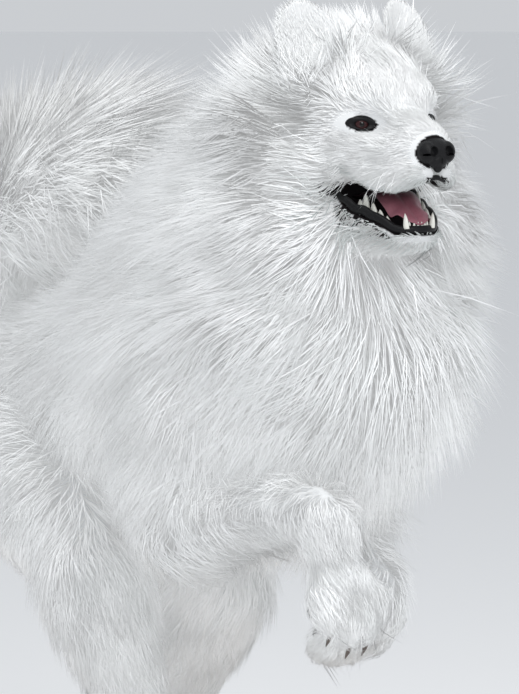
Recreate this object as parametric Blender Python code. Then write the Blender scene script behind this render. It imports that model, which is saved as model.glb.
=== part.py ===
# Samoyed dog at life size, caught in a bound: hind feet on the stand, forelegs tucked, mouth open.
# Metres, +Z up, +X the way the dog faces, +Y its left. The origin is under the middle of the stand.
import math

import bmesh
import bpy
import numpy as np
from mathutils import Vector
from mathutils.bvhtree import BVHTree

GAP = 0.0003                 # clearance between touching nodes
CORE_SHARE = 0.5             # how far the solid core reaches through the coat, 0 skin to 1 tips

# Display stand
BASE_SIZE = (0.60, 0.36, 0.020)
BASE_CENTRE = (0.0, 0.0)
BASE_CORNER = 0.05
ROD_RADIUS = 0.008
ROD_AT = (-0.030, 0.0)
SOLE_Z = BASE_SIZE[2] + GAP  # the ground that the hind feet stand on

# Places of the skeleton, with the height counted from the soles
HIPS = (-0.190, 0.425)       # middle between the hip joints, in the plane of symmetry
TRUNK_PITCH = math.radians(20)
EYES = (0.370, 0.756)        # middle between the eyes, in the plane of symmetry
HEAD_PITCH = math.radians(4)
HEAD_YAW = math.radians(-4)

# Eyes, lids and ears, in the head's frame: forward, left, up from the middle between the eyes
EYE_AT = (-0.0030, 0.0330, 0.0)
EYE_TURN = math.radians(24)
EYE_RADIUS = 0.0100
EYE_OPENING = (0.0078, 0.0040)
LID_RADII = (0.0122, 0.0140, 0.0118)
EAR_BASE = (-0.058, 0.050, 0.030)
EAR_TIP = (-0.064, 0.054, 0.112)
EAR_WIDTH = 0.060
EAR_TURN = 18

# Cuts between the nodes of the body
NECK_AT = (0.150, 0.600)
NECK_NORMAL = (0.588, 0.0, 0.809)
FORE_BOX = (0.050, 0.470)          # inside and above
FORE_END = {"right": (0.105, 0.345), "left": (0.060, 0.100)}   # behind and below
HIND_BOX = (0.300, 0.036, 0.385)   # ahead, inside and above
TAIL_JOINT = 2                     # the tail's two nodes meet at this joint of the tail

ROD_FLANGE = 0.024
ROD_TOP = 0.400
BASE_EDGE = 0.003

# Locks in the solids
LOCK_ROOT = 0.008                  # how far a root is sunk in the core
LOCK_LEAST = 0.024                 # no lock where the coat is shallower
LOCK_SPACING = (0.037, 0.046, 0.058)
LOCK_WIDTH = 0.41                  # half width, as a share of the spacing
LOCK_TRIES = 4000
LOCK_THINNED = 0.80                  # share of the triangles kept once the locks are joined

# Triangles of each form
BODY_TRIANGLES = 1900
HEAD_TRIANGLES = 1250
JAW_TRIANGLES = 360
TAIL_TRIANGLES = 220
PAW_TRIANGLES = 190

rng = np.random.default_rng(7)


# Frames of reference

def at(x, y, z):
    """A point whose height is counted from the soles."""
    return np.array([x, y, z + SOLE_Z])


def on_trunk(along, above, y=0.0):
    """A point in the trunk's own frame: along the spine from the hips, and above that line."""
    c, s = math.cos(TRUNK_PITCH), math.sin(TRUNK_PITCH)
    return at(HIPS[0] + along * c - above * s, y, HIPS[1] + along * s + above * c)


def on_head(forward, left, up):
    """A point in the head's own frame, whose origin is the middle between the eyes."""
    return at(EYES[0], 0.0, EYES[1]) + turned((forward, left, up))


def turned(v):
    """A direction of the head's frame, in the object's frame."""
    x, y, z = v
    x, z = x * math.cos(HEAD_PITCH) - z * math.sin(HEAD_PITCH), x * math.sin(HEAD_PITCH) + z * math.cos(HEAD_PITCH)
    return np.array([
        x * math.cos(HEAD_YAW) - y * math.sin(HEAD_YAW),
        x * math.sin(HEAD_YAW) + y * math.cos(HEAD_YAW),
        z,
    ])


def unit(v):
    v = np.asarray(v, float)
    return v / np.maximum(np.linalg.norm(v, axis=-1, keepdims=True), 1e-9)


# Joints of each limb, from the body outwards: side, then named places
FORE = {
    "right": {"shoulder": at(0.195, -0.080, 0.520), "elbow": at(0.190, -0.098, 0.390),
              "wrist": at(0.380, -0.088, 0.410), "toes": at(0.424, -0.080, 0.284)},
    "left": {"shoulder": at(0.195, 0.080, 0.520), "elbow": at(0.125, 0.098, 0.415),
             "wrist": at(0.245, 0.085, 0.300), "toes": at(0.160, 0.100, 0.236)},
}
HIND = {
    "right": {"hip": at(-0.190, -0.070, 0.425), "knee": at(0.030, -0.100, 0.335),
              "hock": at(0.112, -0.085, 0.150), "ball": at(0.135, -0.080, 0.026), "toes": at(0.191, -0.078, 0.014)},
    "left": {"hip": at(-0.190, 0.070, 0.425), "knee": at(-0.015, 0.100, 0.300),
             "hock": at(-0.102, 0.085, 0.132), "ball": at(-0.086, 0.080, 0.026), "toes": at(-0.030, 0.078, 0.014)},
}
TAIL = [on_trunk(-0.055, 0.020), at(-0.262, 0.0, 0.524), at(-0.240, 0.006, 0.598),
        at(-0.184, 0.016, 0.648), at(-0.116, 0.028, 0.662), at(-0.058, 0.040, 0.642)]
TAIL_CURL = (-0.135, 0.530)  # middle of the tail's curl
TAIL_AHEAD = unit(TAIL[TAIL_JOINT + 1] - TAIL[TAIL_JOINT - 1])


# The coat: each guide is a line near which the coat has one depth, one lie and one lift off the skin

def mirrored(rows):
    """The rows, and each row that has a left side again on the right."""
    flip = np.array([1.0, -1.0, 1.0])
    both = []
    for start, end, depth, lie, lift in rows:
        both.append((start, end, depth, unit(lie), lift))
        if abs(start[1]) + abs(end[1]) > 1e-3:
            both.append((start * flip, end * flip, depth, unit(lie) * flip, lift))
    return both


def coat_guides():
    head = mirrored([
        (on_head(0.085, 0, -0.020), on_head(0.030, 0, 0.004), 0.003, (-1, 0, 0.25), 10),
        (on_head(0.075, 0.022, -0.045), on_head(0.000, 0.040, -0.045), 0.005, (-1, 0.2, -0.2), 12),
        (on_head(0.010, 0.020, 0.020), on_head(-0.020, 0.030, 0.042), 0.013, (-0.7, 0.1, 0.7), 25),
        (on_head(-0.050, 0.0, 0.056), on_head(-0.080, 0.040, 0.050), 0.044, (-0.6, 0.1, 0.8), 45),
        (on_head(0.000, 0.042, -0.010), on_head(-0.020, 0.052, -0.020), 0.010, (-1, 0.3, -0.1), 15),
        (on_head(-0.050, 0.064, -0.010), on_head(-0.060, 0.060, -0.050), 0.040, (-0.9, 0.5, -0.25), 35),
        (on_head(0.045, 0.0, -0.126), on_head(0.000, 0.02, -0.120), 0.010, (-0.9, 0.1, -0.4), 20),
        (on_head(-0.040, 0.0, -0.115), on_head(-0.070, 0.03, -0.100), 0.045, (-0.5, 0.1, -0.8), 35),
    ])
    body = mirrored([
        (at(0.240, 0.0, 0.815), at(0.130, 0.0, 0.715), 0.090, (-0.85, 0, 0.25), 45),
        (at(0.285, 0.078, 0.720), at(0.245, 0.088, 0.620), 0.112, (-0.75, 0.45, -0.35), 42),
        (at(0.345, 0.0, 0.650), at(0.365, 0.0, 0.540), 0.112, (-0.15, 0, -1), 38),
        (at(0.335, 0.0, 0.480), at(0.265, 0.0, 0.420), 0.080, (-0.35, 0, -0.95), 30),
        (at(0.230, 0.080, 0.560), at(0.200, 0.090, 0.480), 0.065, (-0.45, 0.1, -0.85), 30),
        (on_trunk(0.300, 0.110), on_trunk(-0.040, 0.075), 0.050, (-0.95, 0, -0.05), 28),
        (on_trunk(0.260, 0.0, 0.095), on_trunk(0.060, 0.0, 0.080), 0.052, (-0.70, 0, -0.70), 28),
        (on_trunk(0.330, -0.140), on_trunk(0.150, -0.090), 0.045, (-0.55, 0, -0.80), 25),
        (on_trunk(0.080, -0.070), on_trunk(0.020, -0.070), 0.030, (-0.40, 0, -0.90), 20),
        (on_trunk(-0.090, -0.010, 0.040), on_trunk(-0.060, -0.080, 0.080), 0.046, (-0.55, 0.1, -0.85), 30),
    ])
    limbs = []
    for side, y in (("right", -1), ("left", 1)):
        j, k = FORE[side], HIND[side]
        arm, paw = unit(j["wrist"] - j["elbow"]), unit(j["toes"] - j["wrist"])
        back = unit(np.cross(arm, (0, 1, 0)))          # the side of the forearm that carries the feathering
        out = np.array([0, 0.02 * y, 0])
        limbs += [
            (j["shoulder"] + out, j["elbow"] + out, 0.042, unit((-0.35, 0, -0.95)), 25),
            (j["elbow"] - 0.020 * back, j["wrist"] - 0.015 * back, 0.013, arm, 12),
            (j["elbow"] + 0.040 * back, j["wrist"] * 0.35 + j["elbow"] * 0.65 + 0.036 * back, 0.056,
             unit((-0.45, 0, -0.9)), 40),
            (j["wrist"] * 0.7 + j["elbow"] * 0.3 + 0.024 * back, j["wrist"] + 0.016 * back, 0.026,
             unit((-0.45, 0, -0.9)), 35),
            (j["wrist"], j["toes"], 0.009, paw, 12),
            (k["hip"] + 2 * out, k["knee"] + out, 0.032, unit((-0.35, 0, -0.95)), 25),
            (k["knee"] + (0.035, 0.01 * y, 0), k["hock"] + (0.02, 0, 0.02), 0.018,
             unit(k["hock"] - k["knee"]), 14),
            (k["knee"] + (-0.075, 0, -0.02), k["hock"] + (-0.03, 0, 0.02), 0.026, unit((-0.4, 0, -0.9)), 26),
            (k["hock"], k["ball"], 0.010, unit(k["ball"] - k["hock"]), 12),
            (k["ball"], k["toes"], 0.007, unit(k["toes"] - k["ball"]), 12),
        ]
    return head + body + limbs


GUIDES = coat_guides()
GUIDE_START = np.array([g[0] for g in GUIDES])
GUIDE_SPAN = np.array([g[1] for g in GUIDES]) - GUIDE_START
GUIDE_DEPTH = np.array([g[2] for g in GUIDES])
GUIDE_LIE = np.array([g[3] for g in GUIDES])
GUIDE_LIFT = np.array([g[4] for g in GUIDES], float)
GUIDE_NEAR = 0.012           # distance inside which guides share alike
TAIL_COAT = 0.150
TAIL_SIDE = 0.085            # how far the tail's hair spreads to each side


def coat(points):
    """Depth, lie and lift in degrees of the coat at each point, blended from the guides by distance."""
    points = np.atleast_2d(points)
    rel = points[:, None, :] - GUIDE_START
    share = np.clip((rel * GUIDE_SPAN).sum(-1) / (GUIDE_SPAN ** 2).sum(-1), 0, 1)
    off = np.linalg.norm(rel - share[..., None] * GUIDE_SPAN, axis=-1)
    weight = 1 / (off + GUIDE_NEAR) ** 4
    weight /= weight.sum(1, keepdims=True)
    return weight @ GUIDE_DEPTH, unit(weight @ GUIDE_LIE), weight @ GUIDE_LIFT


# Mesh tools

def mesh_object(name, points, faces):
    mesh = bpy.data.meshes.new(name)
    mesh.from_pydata([tuple(map(float, p)) for p in points], [], faces)
    mesh.update()
    obj = bpy.data.objects.new(name, mesh)
    bpy.context.scene.collection.objects.link(obj)
    return obj


def baked(obj):
    """The object with its modifiers applied."""
    graph = bpy.context.evaluated_depsgraph_get()
    mesh = bpy.data.meshes.new_from_object(obj.evaluated_get(graph))
    obj.modifiers.clear()
    old, obj.data = obj.data, mesh
    bpy.data.meshes.remove(old)
    return obj


def removed(objects):
    for obj in objects:
        mesh = obj.data
        bpy.data.objects.remove(obj)
        bpy.data.meshes.remove(mesh)


def spline(values, count):
    """Catmull-Rom curve through the rows of values, at count even steps of chord length."""
    values = np.asarray(values, float)
    chord = np.r_[0, np.cumsum(np.linalg.norm(np.diff(values[:, :3], axis=0), axis=1))]
    slope = np.gradient(values, chord, axis=0)
    t = np.linspace(0, chord[-1], count)
    i = np.clip(np.searchsorted(chord, t, side="right") - 1, 0, len(chord) - 2)
    h = (chord[i + 1] - chord[i])[:, None]
    u = (t[:, None] - chord[i][:, None]) / h
    return ((2 * u ** 3 - 3 * u ** 2 + 1) * values[i] + (u ** 3 - 2 * u ** 2 + u) * h * slope[i]
            + (3 * u ** 2 - 2 * u ** 3) * values[i + 1] + (u ** 3 - u ** 2) * h * slope[i + 1])


def tube(stations, rings=24, sides=20, coated=CORE_SHARE, pinch=0.0):
    """A closed round form along a path. A station is x, y, z, half width across Y, half height.
    pinch narrows the upper side, and coated lets the form out through that share of the coat."""
    s = spline(stations, rings)
    centre, wide, high = s[:, :3], np.maximum(s[:, 3], 0.001), np.maximum(s[:, 4], 0.001)
    ahead = unit(np.gradient(centre, axis=0))
    side = unit(np.array([0, 1, 0]) - ahead * ahead[:, 1:2])
    up = np.cross(ahead, side)
    turn = np.arange(sides) * 2 * math.pi / sides
    across = np.cos(turn)[None] * wide[:, None] * (1 - pinch * np.sin(turn)[None])
    above = np.sin(turn)[None] * high[:, None]
    ring = centre[:, None] + across[..., None] * side[:, None] + above[..., None] * up[:, None]
    if coated:
        outward = unit(ring - centre[:, None])
        depth = coat(ring.reshape(-1, 3))[0].reshape(rings, sides, 1)
        ring = ring + outward * depth * coated
    points = np.concatenate([ring.reshape(-1, 3), centre[:1] - ahead[:1] * high[:1] * 0.5,
                             centre[-1:] + ahead[-1:] * high[-1:] * 0.5])
    faces = []
    for i in range(rings - 1):
        for j in range(sides):
            k = (j + 1) % sides
            faces.append((i * sides + j, i * sides + k, (i + 1) * sides + k, (i + 1) * sides + j))
    first, last = rings * sides, rings * sides + 1
    for j in range(sides):
        k = (j + 1) % sides
        faces.append((first, k, j))
        faces.append((last, (rings - 1) * sides + j, (rings - 1) * sides + k))
    return outward_facing(mesh_object("form", points, faces))


def outward_facing(obj):
    mesh = bmesh.new()
    mesh.from_mesh(obj.data)
    bmesh.ops.recalc_face_normals(mesh, faces=mesh.faces)
    mesh.to_mesh(obj.data)
    mesh.free()
    return obj


def ball(centre, radii, turn=None, detail=3):
    """An ellipsoid; turn is a 3x3 array that its axes are turned by."""
    mesh = bmesh.new()
    bmesh.ops.create_icosphere(mesh, subdivisions=detail, radius=1.0)
    points = np.array([v.co for v in mesh.verts]) * radii
    faces = [tuple(v.index for v in f.verts) for f in mesh.faces]
    mesh.free()
    if turn is not None:
        points = points @ np.asarray(turn).T
    return outward_facing(mesh_object("ball", points + centre, faces))


def head_axes():
    """Columns are the head frame's axes in the object's frame."""
    return np.array([turned((1, 0, 0)), turned((0, 1, 0)), turned((0, 0, 1))]).T


def fused(name, pieces, voxel, smooth, triangles, plain=None):
    """The pieces melted into one closed skin, smoothed and brought down to about that many triangles."""
    points, faces = [], []
    for piece in pieces:
        start = len(points)
        points += [tuple(v.co) for v in piece.data.vertices]
        faces += [tuple(i + start for i in p.vertices) for p in piece.data.polygons]
    removed(pieces)
    obj = mesh_object(name, points, faces)
    remesh = obj.modifiers.new("Melt", "REMESH")
    remesh.mode = "VOXEL"
    remesh.voxel_size = voxel
    ease = obj.modifiers.new("Ease", "SMOOTH")
    ease.factor, ease.iterations = 0.5, smooth
    baked(obj)
    thinned(obj, triangles, plain)
    obj.vertex_groups.clear()
    return obj


def triangle_count(obj):
    return sum(len(p.vertices) - 2 for p in obj.data.polygons)


def thinned(obj, triangles, plain=None):
    """Fewer triangles. plain tells, from the points, how plain each place may become, 0 to 1."""
    have = triangle_count(obj)
    if have > triangles:
        fewer = obj.modifiers.new("Fewer", "DECIMATE")
        fewer.ratio = triangles / have
        if plain is not None:
            points = np.array([v.co for v in obj.data.vertices])
            group = obj.vertex_groups.new(name="plain")
            for i, share in enumerate(plain(points)):
                group.add([i], float(share), "REPLACE")
            fewer.vertex_group = group.name
            fewer.vertex_group_factor = 1.0
        fewer.use_collapse_triangulate = True
        baked(obj)
    return obj


def sound(obj):
    """Whether the object is one or more closed surfaces with room inside."""
    mesh = bmesh.new()
    mesh.from_mesh(obj.data)
    bmesh.ops.remove_doubles(mesh, verts=mesh.verts, dist=1e-6)
    good = len(mesh.faces) > 3 and all(e.is_manifold for e in mesh.edges) and mesh.calc_volume(signed=True) > 0
    mesh.free()
    return good


def boolean(obj, others, operation):
    """Unites the object with the others, or cuts them from it. The others are removed."""
    helpers = bpy.data.collections.new("helpers")
    for other in others:
        helpers.objects.link(other)
    bpy.context.scene.collection.children.link(helpers)
    before = obj.data.copy()
    for solver in (("EXACT", "MANIFOLD") if operation == "UNION" else ("MANIFOLD", "EXACT")):
        join = obj.modifiers.new("Join", "BOOLEAN")
        join.operation, join.solver, join.operand_type = operation, solver, "COLLECTION"
        join.collection = helpers
        baked(obj)
        if sound(obj):
            break
        obj.data = before.copy()
    bpy.data.meshes.remove(before)
    removed(others)
    bpy.data.collections.remove(helpers)
    return obj


def largest(obj):
    """Keeps the largest closed surface of the object."""
    mesh = bmesh.new()
    mesh.from_mesh(obj.data)
    bmesh.ops.remove_doubles(mesh, verts=mesh.verts, dist=1e-6)
    left, best = set(mesh.faces), []
    while left:
        seed = left.pop()
        group, front = [seed], [seed]
        while front:
            for edge in front.pop().edges:
                for face in edge.link_faces:
                    if face in left:
                        left.discard(face)
                        group.append(face)
                        front.append(face)
        if sum(f.calc_area() for f in group) > sum(f.calc_area() for f in best):
            best = group
    keep = set(best)
    bmesh.ops.delete(mesh, geom=[f for f in mesh.faces if f not in keep], context="FACES")
    bmesh.ops.triangulate(mesh, faces=mesh.faces)
    mesh.to_mesh(obj.data)
    mesh.free()
    return obj


def copied(obj, grow=0.0):
    """A copy, let out along its normals by grow."""
    twin = bpy.data.objects.new(obj.name + "_twin", obj.data.copy())
    bpy.context.scene.collection.objects.link(twin)
    if grow:
        count = len(twin.data.vertices)
        points, normals = np.empty(count * 3, np.float32), np.empty(count * 3, np.float32)
        twin.data.vertices.foreach_get("co", points)
        twin.data.vertices.foreach_get("normal", normals)
        twin.data.vertices.foreach_set("co", points + normals * grow)
        twin.data.update()
    return twin


def slab(point, normal, reach, depth=None):
    """A block whose one face passes through the point, and which fills the side that the normal points to."""
    n = unit(normal)
    side = unit(np.cross(n, (0, 1, 0) if abs(n[1]) < 0.9 else (1, 0, 0)))
    over = np.cross(n, side)
    deep = reach if depth is None else depth
    corners = [np.asarray(point) + a * reach * side + b * reach * over + c * deep * n
               for c in (0, 1) for a, b in ((-1, -1), (1, -1), (1, 1), (-1, 1))]
    faces = [(0, 3, 2, 1), (4, 5, 6, 7), (0, 1, 5, 4), (1, 2, 6, 5), (2, 3, 7, 6), (3, 0, 4, 7)]
    return outward_facing(mesh_object("slab", corners, faces))


SQUARE = ((1, 0), (0, 1), (-1, 0), (0, -1))
RIDGE = ((1, -0.5), (0, 1), (-1, -0.5))    # a lock's section: flat below, with a ridge above


def block(low, high):
    """A box between two corners, in the object's frame."""
    x, y, z = zip(low, high)
    corners = [(x[i], y[j], z[k]) for k in (0, 1) for i, j in ((0, 0), (1, 0), (1, 1), (0, 1))]
    faces = [(0, 3, 2, 1), (4, 5, 6, 7), (0, 1, 5, 4), (1, 2, 6, 5), (2, 3, 7, 6), (3, 0, 4, 7)]
    return mesh_object("block", corners, faces)


def spike(path, wide, thin, across, outline=SQUARE):
    """A closed form along a path that tapers to a point: half widths across it, half thicknesses over it."""
    path = np.asarray(path, float)
    ahead = unit(np.gradient(path, axis=0))
    side = unit(across - ahead * (ahead @ np.asarray(across, float))[:, None])
    over = np.cross(ahead, side)
    a, b = np.array(outline, float).T
    sides = len(outline)
    ring = (path[:-1, None] + a[None, :, None] * side[:-1, None] * np.asarray(wide)[:, None, None]
            + b[None, :, None] * over[:-1, None] * np.asarray(thin)[:, None, None])
    points = np.concatenate([ring.reshape(-1, 3), path[-1:]])
    count, faces = len(path) - 1, [tuple(range(sides))]
    for i in range(count - 1):
        for j in range(sides):
            k = (j + 1) % sides
            faces.append((i * sides + j, i * sides + k, (i + 1) * sides + k, (i + 1) * sides + j))
    for j in range(sides):
        faces.append(((count - 1) * sides + j, (count - 1) * sides + (j + 1) % sides, count * sides))
    return outward_facing(mesh_object("spike", points, faces))


def cutter(stations, half):
    """A closed wedge in the head's frame: forward, top, bottom, as wide as half on each side."""
    points, faces = [], []
    for f, top, low in stations:
        points += [on_head(f, -half, low), on_head(f, half, low), on_head(f, half, top), on_head(f, -half, top)]
    last = len(stations) - 1
    for i in range(last):
        for j in range(4):
            k = (j + 1) % 4
            faces.append((4 * i + j, 4 * i + k, 4 * i + 4 + k, 4 * i + 4 + j))
    faces += [(0, 1, 2, 3), (4 * last + 3, 4 * last + 2, 4 * last + 1, 4 * last)]
    return outward_facing(mesh_object("wedge", points, faces))


# Forms of the body

def trunk_forms():
    rows = [(-0.085, 0.000, 0.045, 0.045), (-0.050, 0.002, 0.074, 0.068), (0.000, 0.006, 0.084, 0.080),
            (0.080, 0.008, 0.076, 0.082), (0.170, -0.002, 0.082, 0.093), (0.270, -0.012, 0.094, 0.112),
            (0.360, -0.018, 0.098, 0.126), (0.450, -0.018, 0.093, 0.117), (0.525, -0.022, 0.072, 0.086),
            (0.562, -0.026, 0.040, 0.048)]
    return [tube([(*on_trunk(s, n), w, h) for s, n, w, h in rows], rings=40, sides=28)]


def neck_forms():
    rows = [(0.160, 0.540, 0.090, 0.104), (0.222, 0.606, 0.092, 0.112), (0.262, 0.660, 0.086, 0.104),
            (0.284, 0.700, 0.073, 0.086), (0.298, 0.722, 0.057, 0.062), (0.310, 0.732, 0.036, 0.037)]
    return [tube([(*at(x, 0, z), w, h) for x, z, w, h in rows], rings=26, sides=24)]


def leg_forms():
    forms = []
    for side in ("right", "left"):
        j, k = FORE[side], HIND[side]
        arm, fore = j["elbow"] - j["shoulder"], j["wrist"] - j["elbow"]
        forms.append(tube([(*(j["shoulder"] + arm * s), w, h) for s, w, h in
                           ((-0.35, 0.022, 0.040), (0.0, 0.040, 0.056), (0.5, 0.038, 0.050), (1.0, 0.031, 0.036),
                            (1.12, 0.018, 0.020))]))
        forms.append(tube([(*(j["elbow"] + fore * s), w, h) for s, w, h in
                           ((-0.14, 0.014, 0.016), (0.0, 0.030, 0.036), (0.35, 0.027, 0.030), (0.75, 0.020, 0.021),
                            (0.98, 0.021, 0.022), (1.06, 0.013, 0.014))]))
        thigh, shank = k["knee"] - k["hip"], k["hock"] - k["knee"]
        sag = np.array([0.004, 0, 0.012])
        forms.append(tube([(*(k["hip"] + thigh * s + sag * m), w, h) for s, m, w, h in
                           ((-0.20, 0.2, 0.026, 0.046), (0.1, 0.8, 0.046, 0.066), (0.5, 1.0, 0.046, 0.056),
                            (0.85, 0.6, 0.040, 0.045), (1.05, 0.2, 0.026, 0.030))]))
        forms.append(tube([(*(k["knee"] + shank * s), w, h) for s, w, h in
                           ((-0.12, 0.020, 0.024), (0.05, 0.036, 0.044), (0.4, 0.031, 0.038), (0.75, 0.019, 0.024),
                            (1.0, 0.017, 0.022), (1.08, 0.010, 0.012))]))
        foot = k["ball"] - k["hock"]
        forms.append(tube([(*(k["hock"] + foot * s), w, h) for s, w, h in
                           ((-0.14, 0.010, 0.012), (0.0, 0.017, 0.021), (0.5, 0.016, 0.017), (0.72, 0.015, 0.015))]))
    return forms


def tail_form():
    """The curl of the tail: the hair's outer side is the long one, so the form sits outside the bone."""
    path = spline([(*p, 0) for p in TAIL], 30)[:, :3]
    share = np.linspace(0, 1, 30)
    centre = np.array([TAIL_CURL[0], 0.0, TAIL_CURL[1] + SOLE_Z])
    away = unit((path - centre) * (1, 0, 1))
    deep = TAIL_COAT * np.interp(share, [0, 0.15, 0.4, 0.8, 1], [0.25, 0.5, 0.85, 1.0, 0.7])
    thick = 0.016 + CORE_SHARE * deep * 0.55
    wide = 0.018 + CORE_SHARE * TAIL_SIDE * np.interp(share, [0, 0.2, 0.7, 1], [0.4, 1, 1, 0.5])
    middle = path + away * (CORE_SHARE * deep * 0.42)[:, None]
    rows = [(*m, w, t) for m, w, t in zip(middle[::3], wide[::3], thick[::3])]
    return fused("tail", [tube(rows, rings=30, sides=20, coated=0)], 0.007, 6, TAIL_TRIANGLES)


# Forms of the head, with sizes in its own frame

def head_forms():
    """Skull and upper jaw, cheeks, brows and lips, without the lower jaw."""
    rows = [(-0.135, 0.015, -0.045, 0.030), (-0.115, 0.038, -0.060, 0.048), (-0.080, 0.054, -0.070, 0.060),
            (-0.045, 0.056, -0.064, 0.062), (-0.015, 0.046, -0.055, 0.055), (0.005, 0.027, -0.051, 0.046),
            (0.022, 0.011, -0.050, 0.038), (0.045, 0.001, -0.050, 0.033), (0.064, -0.006, -0.049, 0.028),
            (0.076, -0.011, -0.045, 0.021), (0.081, -0.018, -0.040, 0.012)]
    forms = [tube([(*on_head(f, 0, (top + low) / 2), wide, (top - low) / 2) for f, top, low, wide in rows],
                  rings=40, sides=28, pinch=0.10)]
    axes = head_axes()
    for y in (-1, 1):
        forms.append(ball(on_head(-0.058, 0.044 * y, -0.042), (0.046, 0.036, 0.044), axes))     # cheek
        forms.append(ball(on_head(-0.002, 0.027 * y, 0.018), (0.020, 0.015, 0.012), axes))      # brow
        forms.append(ball(on_head(-0.082, 0.040 * y, -0.078), (0.042, 0.038, 0.036), axes))     # jowl
        lip = [(0.080, 0.005, -0.045), (0.076, 0.017, -0.048), (0.066, 0.025, -0.0515), (0.052, 0.029, -0.0535),
               (0.036, 0.032, -0.0535), (0.020, 0.035, -0.0515), (0.004, 0.038, -0.0490), (-0.020, 0.041, -0.0490),
               (-0.034, 0.042, -0.0560)]
        forms.append(tube([(*on_head(f, w * y, u), 0.0060, 0.0065) for f, w, u in lip], coated=0, sides=10))
    forms.append(ball(on_head(-0.070, 0, -0.080), (0.042, 0.044, 0.034), axes))                 # throat
    return forms


def jaw_forms():
    """Lower jaw from the throat to the chin, with the rim of its lip."""
    rows = [(-0.095, -0.072, 0.042, 0.028), (-0.062, -0.084, 0.042, 0.025), (-0.030, -0.094, 0.037, 0.018),
            (0.000, -0.100, 0.031, 0.0125), (0.022, -0.1035, 0.026, 0.009), (0.040, -0.1055, 0.020, 0.0065),
            (0.049, -0.1055, 0.013, 0.0045)]
    forms = [tube([(*on_head(f, 0, u), w, h) for f, u, w, h in rows], rings=30, sides=20)]
    for y in (-1, 1):
        rim = [(0.0500, 0.000, -0.0995), (0.0490, 0.010, -0.0995), (0.0440, 0.019, -0.0990), (0.034, 0.025, -0.0965),
               (0.022, 0.029, -0.0900), (0.0043, 0.034, -0.0840), (-0.007, 0.037, -0.0795), (-0.0216, 0.040, -0.0730),
               (-0.034, 0.041, -0.0680)]
        forms.append(tube([(*on_head(f, w * y, u), 0.0038, 0.0045) for f, w, u in rim], coated=0, sides=8))
    return forms


def face_detail(points):
    """The back of the head, which the ruff covers, may be plainer than the face."""
    forward = (points - on_head(0, 0, 0)) @ head_axes()[:, 0]
    return np.interp(forward, [-0.09, -0.04, 0.0], [1.0, 0.5, 0.12])


def mouth_cutters():
    """The open mouth: a wedge between the lips, and the hollows of the palate and of the jaw behind them."""
    wedge = cutter([(0.120, -0.0605, -0.0945), (0.045, -0.0605, -0.0945), (0.034, -0.0605, -0.0915),
                    (0.022, -0.0600, -0.0850), (0.0043, -0.0570, -0.0790), (-0.007, -0.0560, -0.0745),
                    (-0.0216, -0.0570, -0.0675), (-0.029, -0.0615, -0.0635)], 0.070)
    palate = tube([(*on_head(f, 0, u), w, h) for f, u, w, h in
                   ((0.068, -0.054, 0.013, 0.005), (0.040, -0.054, 0.021, 0.007), (0.010, -0.054, 0.025, 0.008),
                    (-0.030, -0.058, 0.029, 0.011), (-0.065, -0.064, 0.022, 0.010))], coated=0, rings=14, sides=14)
    floor = tube([(*on_head(f, 0, u), w, h) for f, u, w, h in
                  ((0.042, -0.0945, 0.013, 0.004), (0.022, -0.087, 0.019, 0.009), (0.000, -0.079, 0.024, 0.012),
                   (-0.030, -0.071, 0.029, 0.013), (-0.065, -0.070, 0.022, 0.012))], coated=0, rings=14, sides=14)
    return [wedge, palate, floor]


def tongue_form():
    forms = []
    for y in (-1, 1):
        rows = [(-0.080, 0.006, -0.070, 0.009, 0.006), (-0.055, 0.007, -0.0705, 0.011, 0.006),
                (-0.030, 0.008, -0.0715, 0.0125, 0.006),
                (0.000, 0.0085, -0.0750, 0.0115, 0.0055), (0.022, 0.0085, -0.0840, 0.0110, 0.0045),
                (0.034, 0.0075, -0.0900, 0.0095, 0.0036), (0.0405, 0.0055, -0.0925, 0.0060, 0.0024)]
        forms.append(tube([(*on_head(f, s * y, u), w, h) for f, s, u, w, h in rows], coated=0, rings=20, sides=12))
    return fused("tongue", forms, 0.0022, 2, 220)


def nose_form():
    axes = head_axes()
    forms = [ball(on_head(0.0725, 0, -0.0270), (0.0130, 0.0180, 0.0125), axes),
             ball(on_head(0.0740, 0, -0.0370), (0.0100, 0.0110, 0.0090), axes)]
    for y in (-1, 1):
        forms.append(ball(on_head(0.0750, 0.0085 * y, -0.0310), (0.0110, 0.0095, 0.0110), axes))
    return fused("nose", forms, 0.0016, 3, 220)


def nostrils(nose):
    """Opens the nostrils, with their slits to the side, and cuts the groove between them."""
    axes, holes = head_axes(), []
    for y in (-1, 1):
        holes.append(ball(on_head(0.0860, 0.0075 * y, -0.0300), (0.0060, 0.0036, 0.0042), axes, 2))
        holes.append(ball(on_head(0.0820, 0.0130 * y, -0.0330), (0.0070, 0.0060, 0.0018), axes, 1))
    holes.append(spike([on_head(f, 0, u) for f, u in ((0.0872, -0.024), (0.0878, -0.032), (0.0850, -0.042),
                                                      (0.0820, -0.050))],
                       (0.0008, 0.0010, 0.0010), (0.0016, 0.0022, 0.0022), turned((0, 1, 0))))
    return largest(boolean(nose, holes, "DIFFERENCE"))


def eye_frame(y):
    """Centre of the eye on that side, and its axes: out along the gaze, towards its outer corner, up."""
    gaze = unit(turned((math.cos(EYE_TURN), math.sin(EYE_TURN) * y, -0.06)))
    corner = unit(turned((-math.sin(EYE_TURN), math.cos(EYE_TURN) * y, 0.10)))
    corner = unit(corner - gaze * (gaze @ corner))
    return on_head(EYE_AT[0], EYE_AT[1] * y, EYE_AT[2]), np.array([gaze, corner, np.cross(gaze, corner) * y]).T


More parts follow.
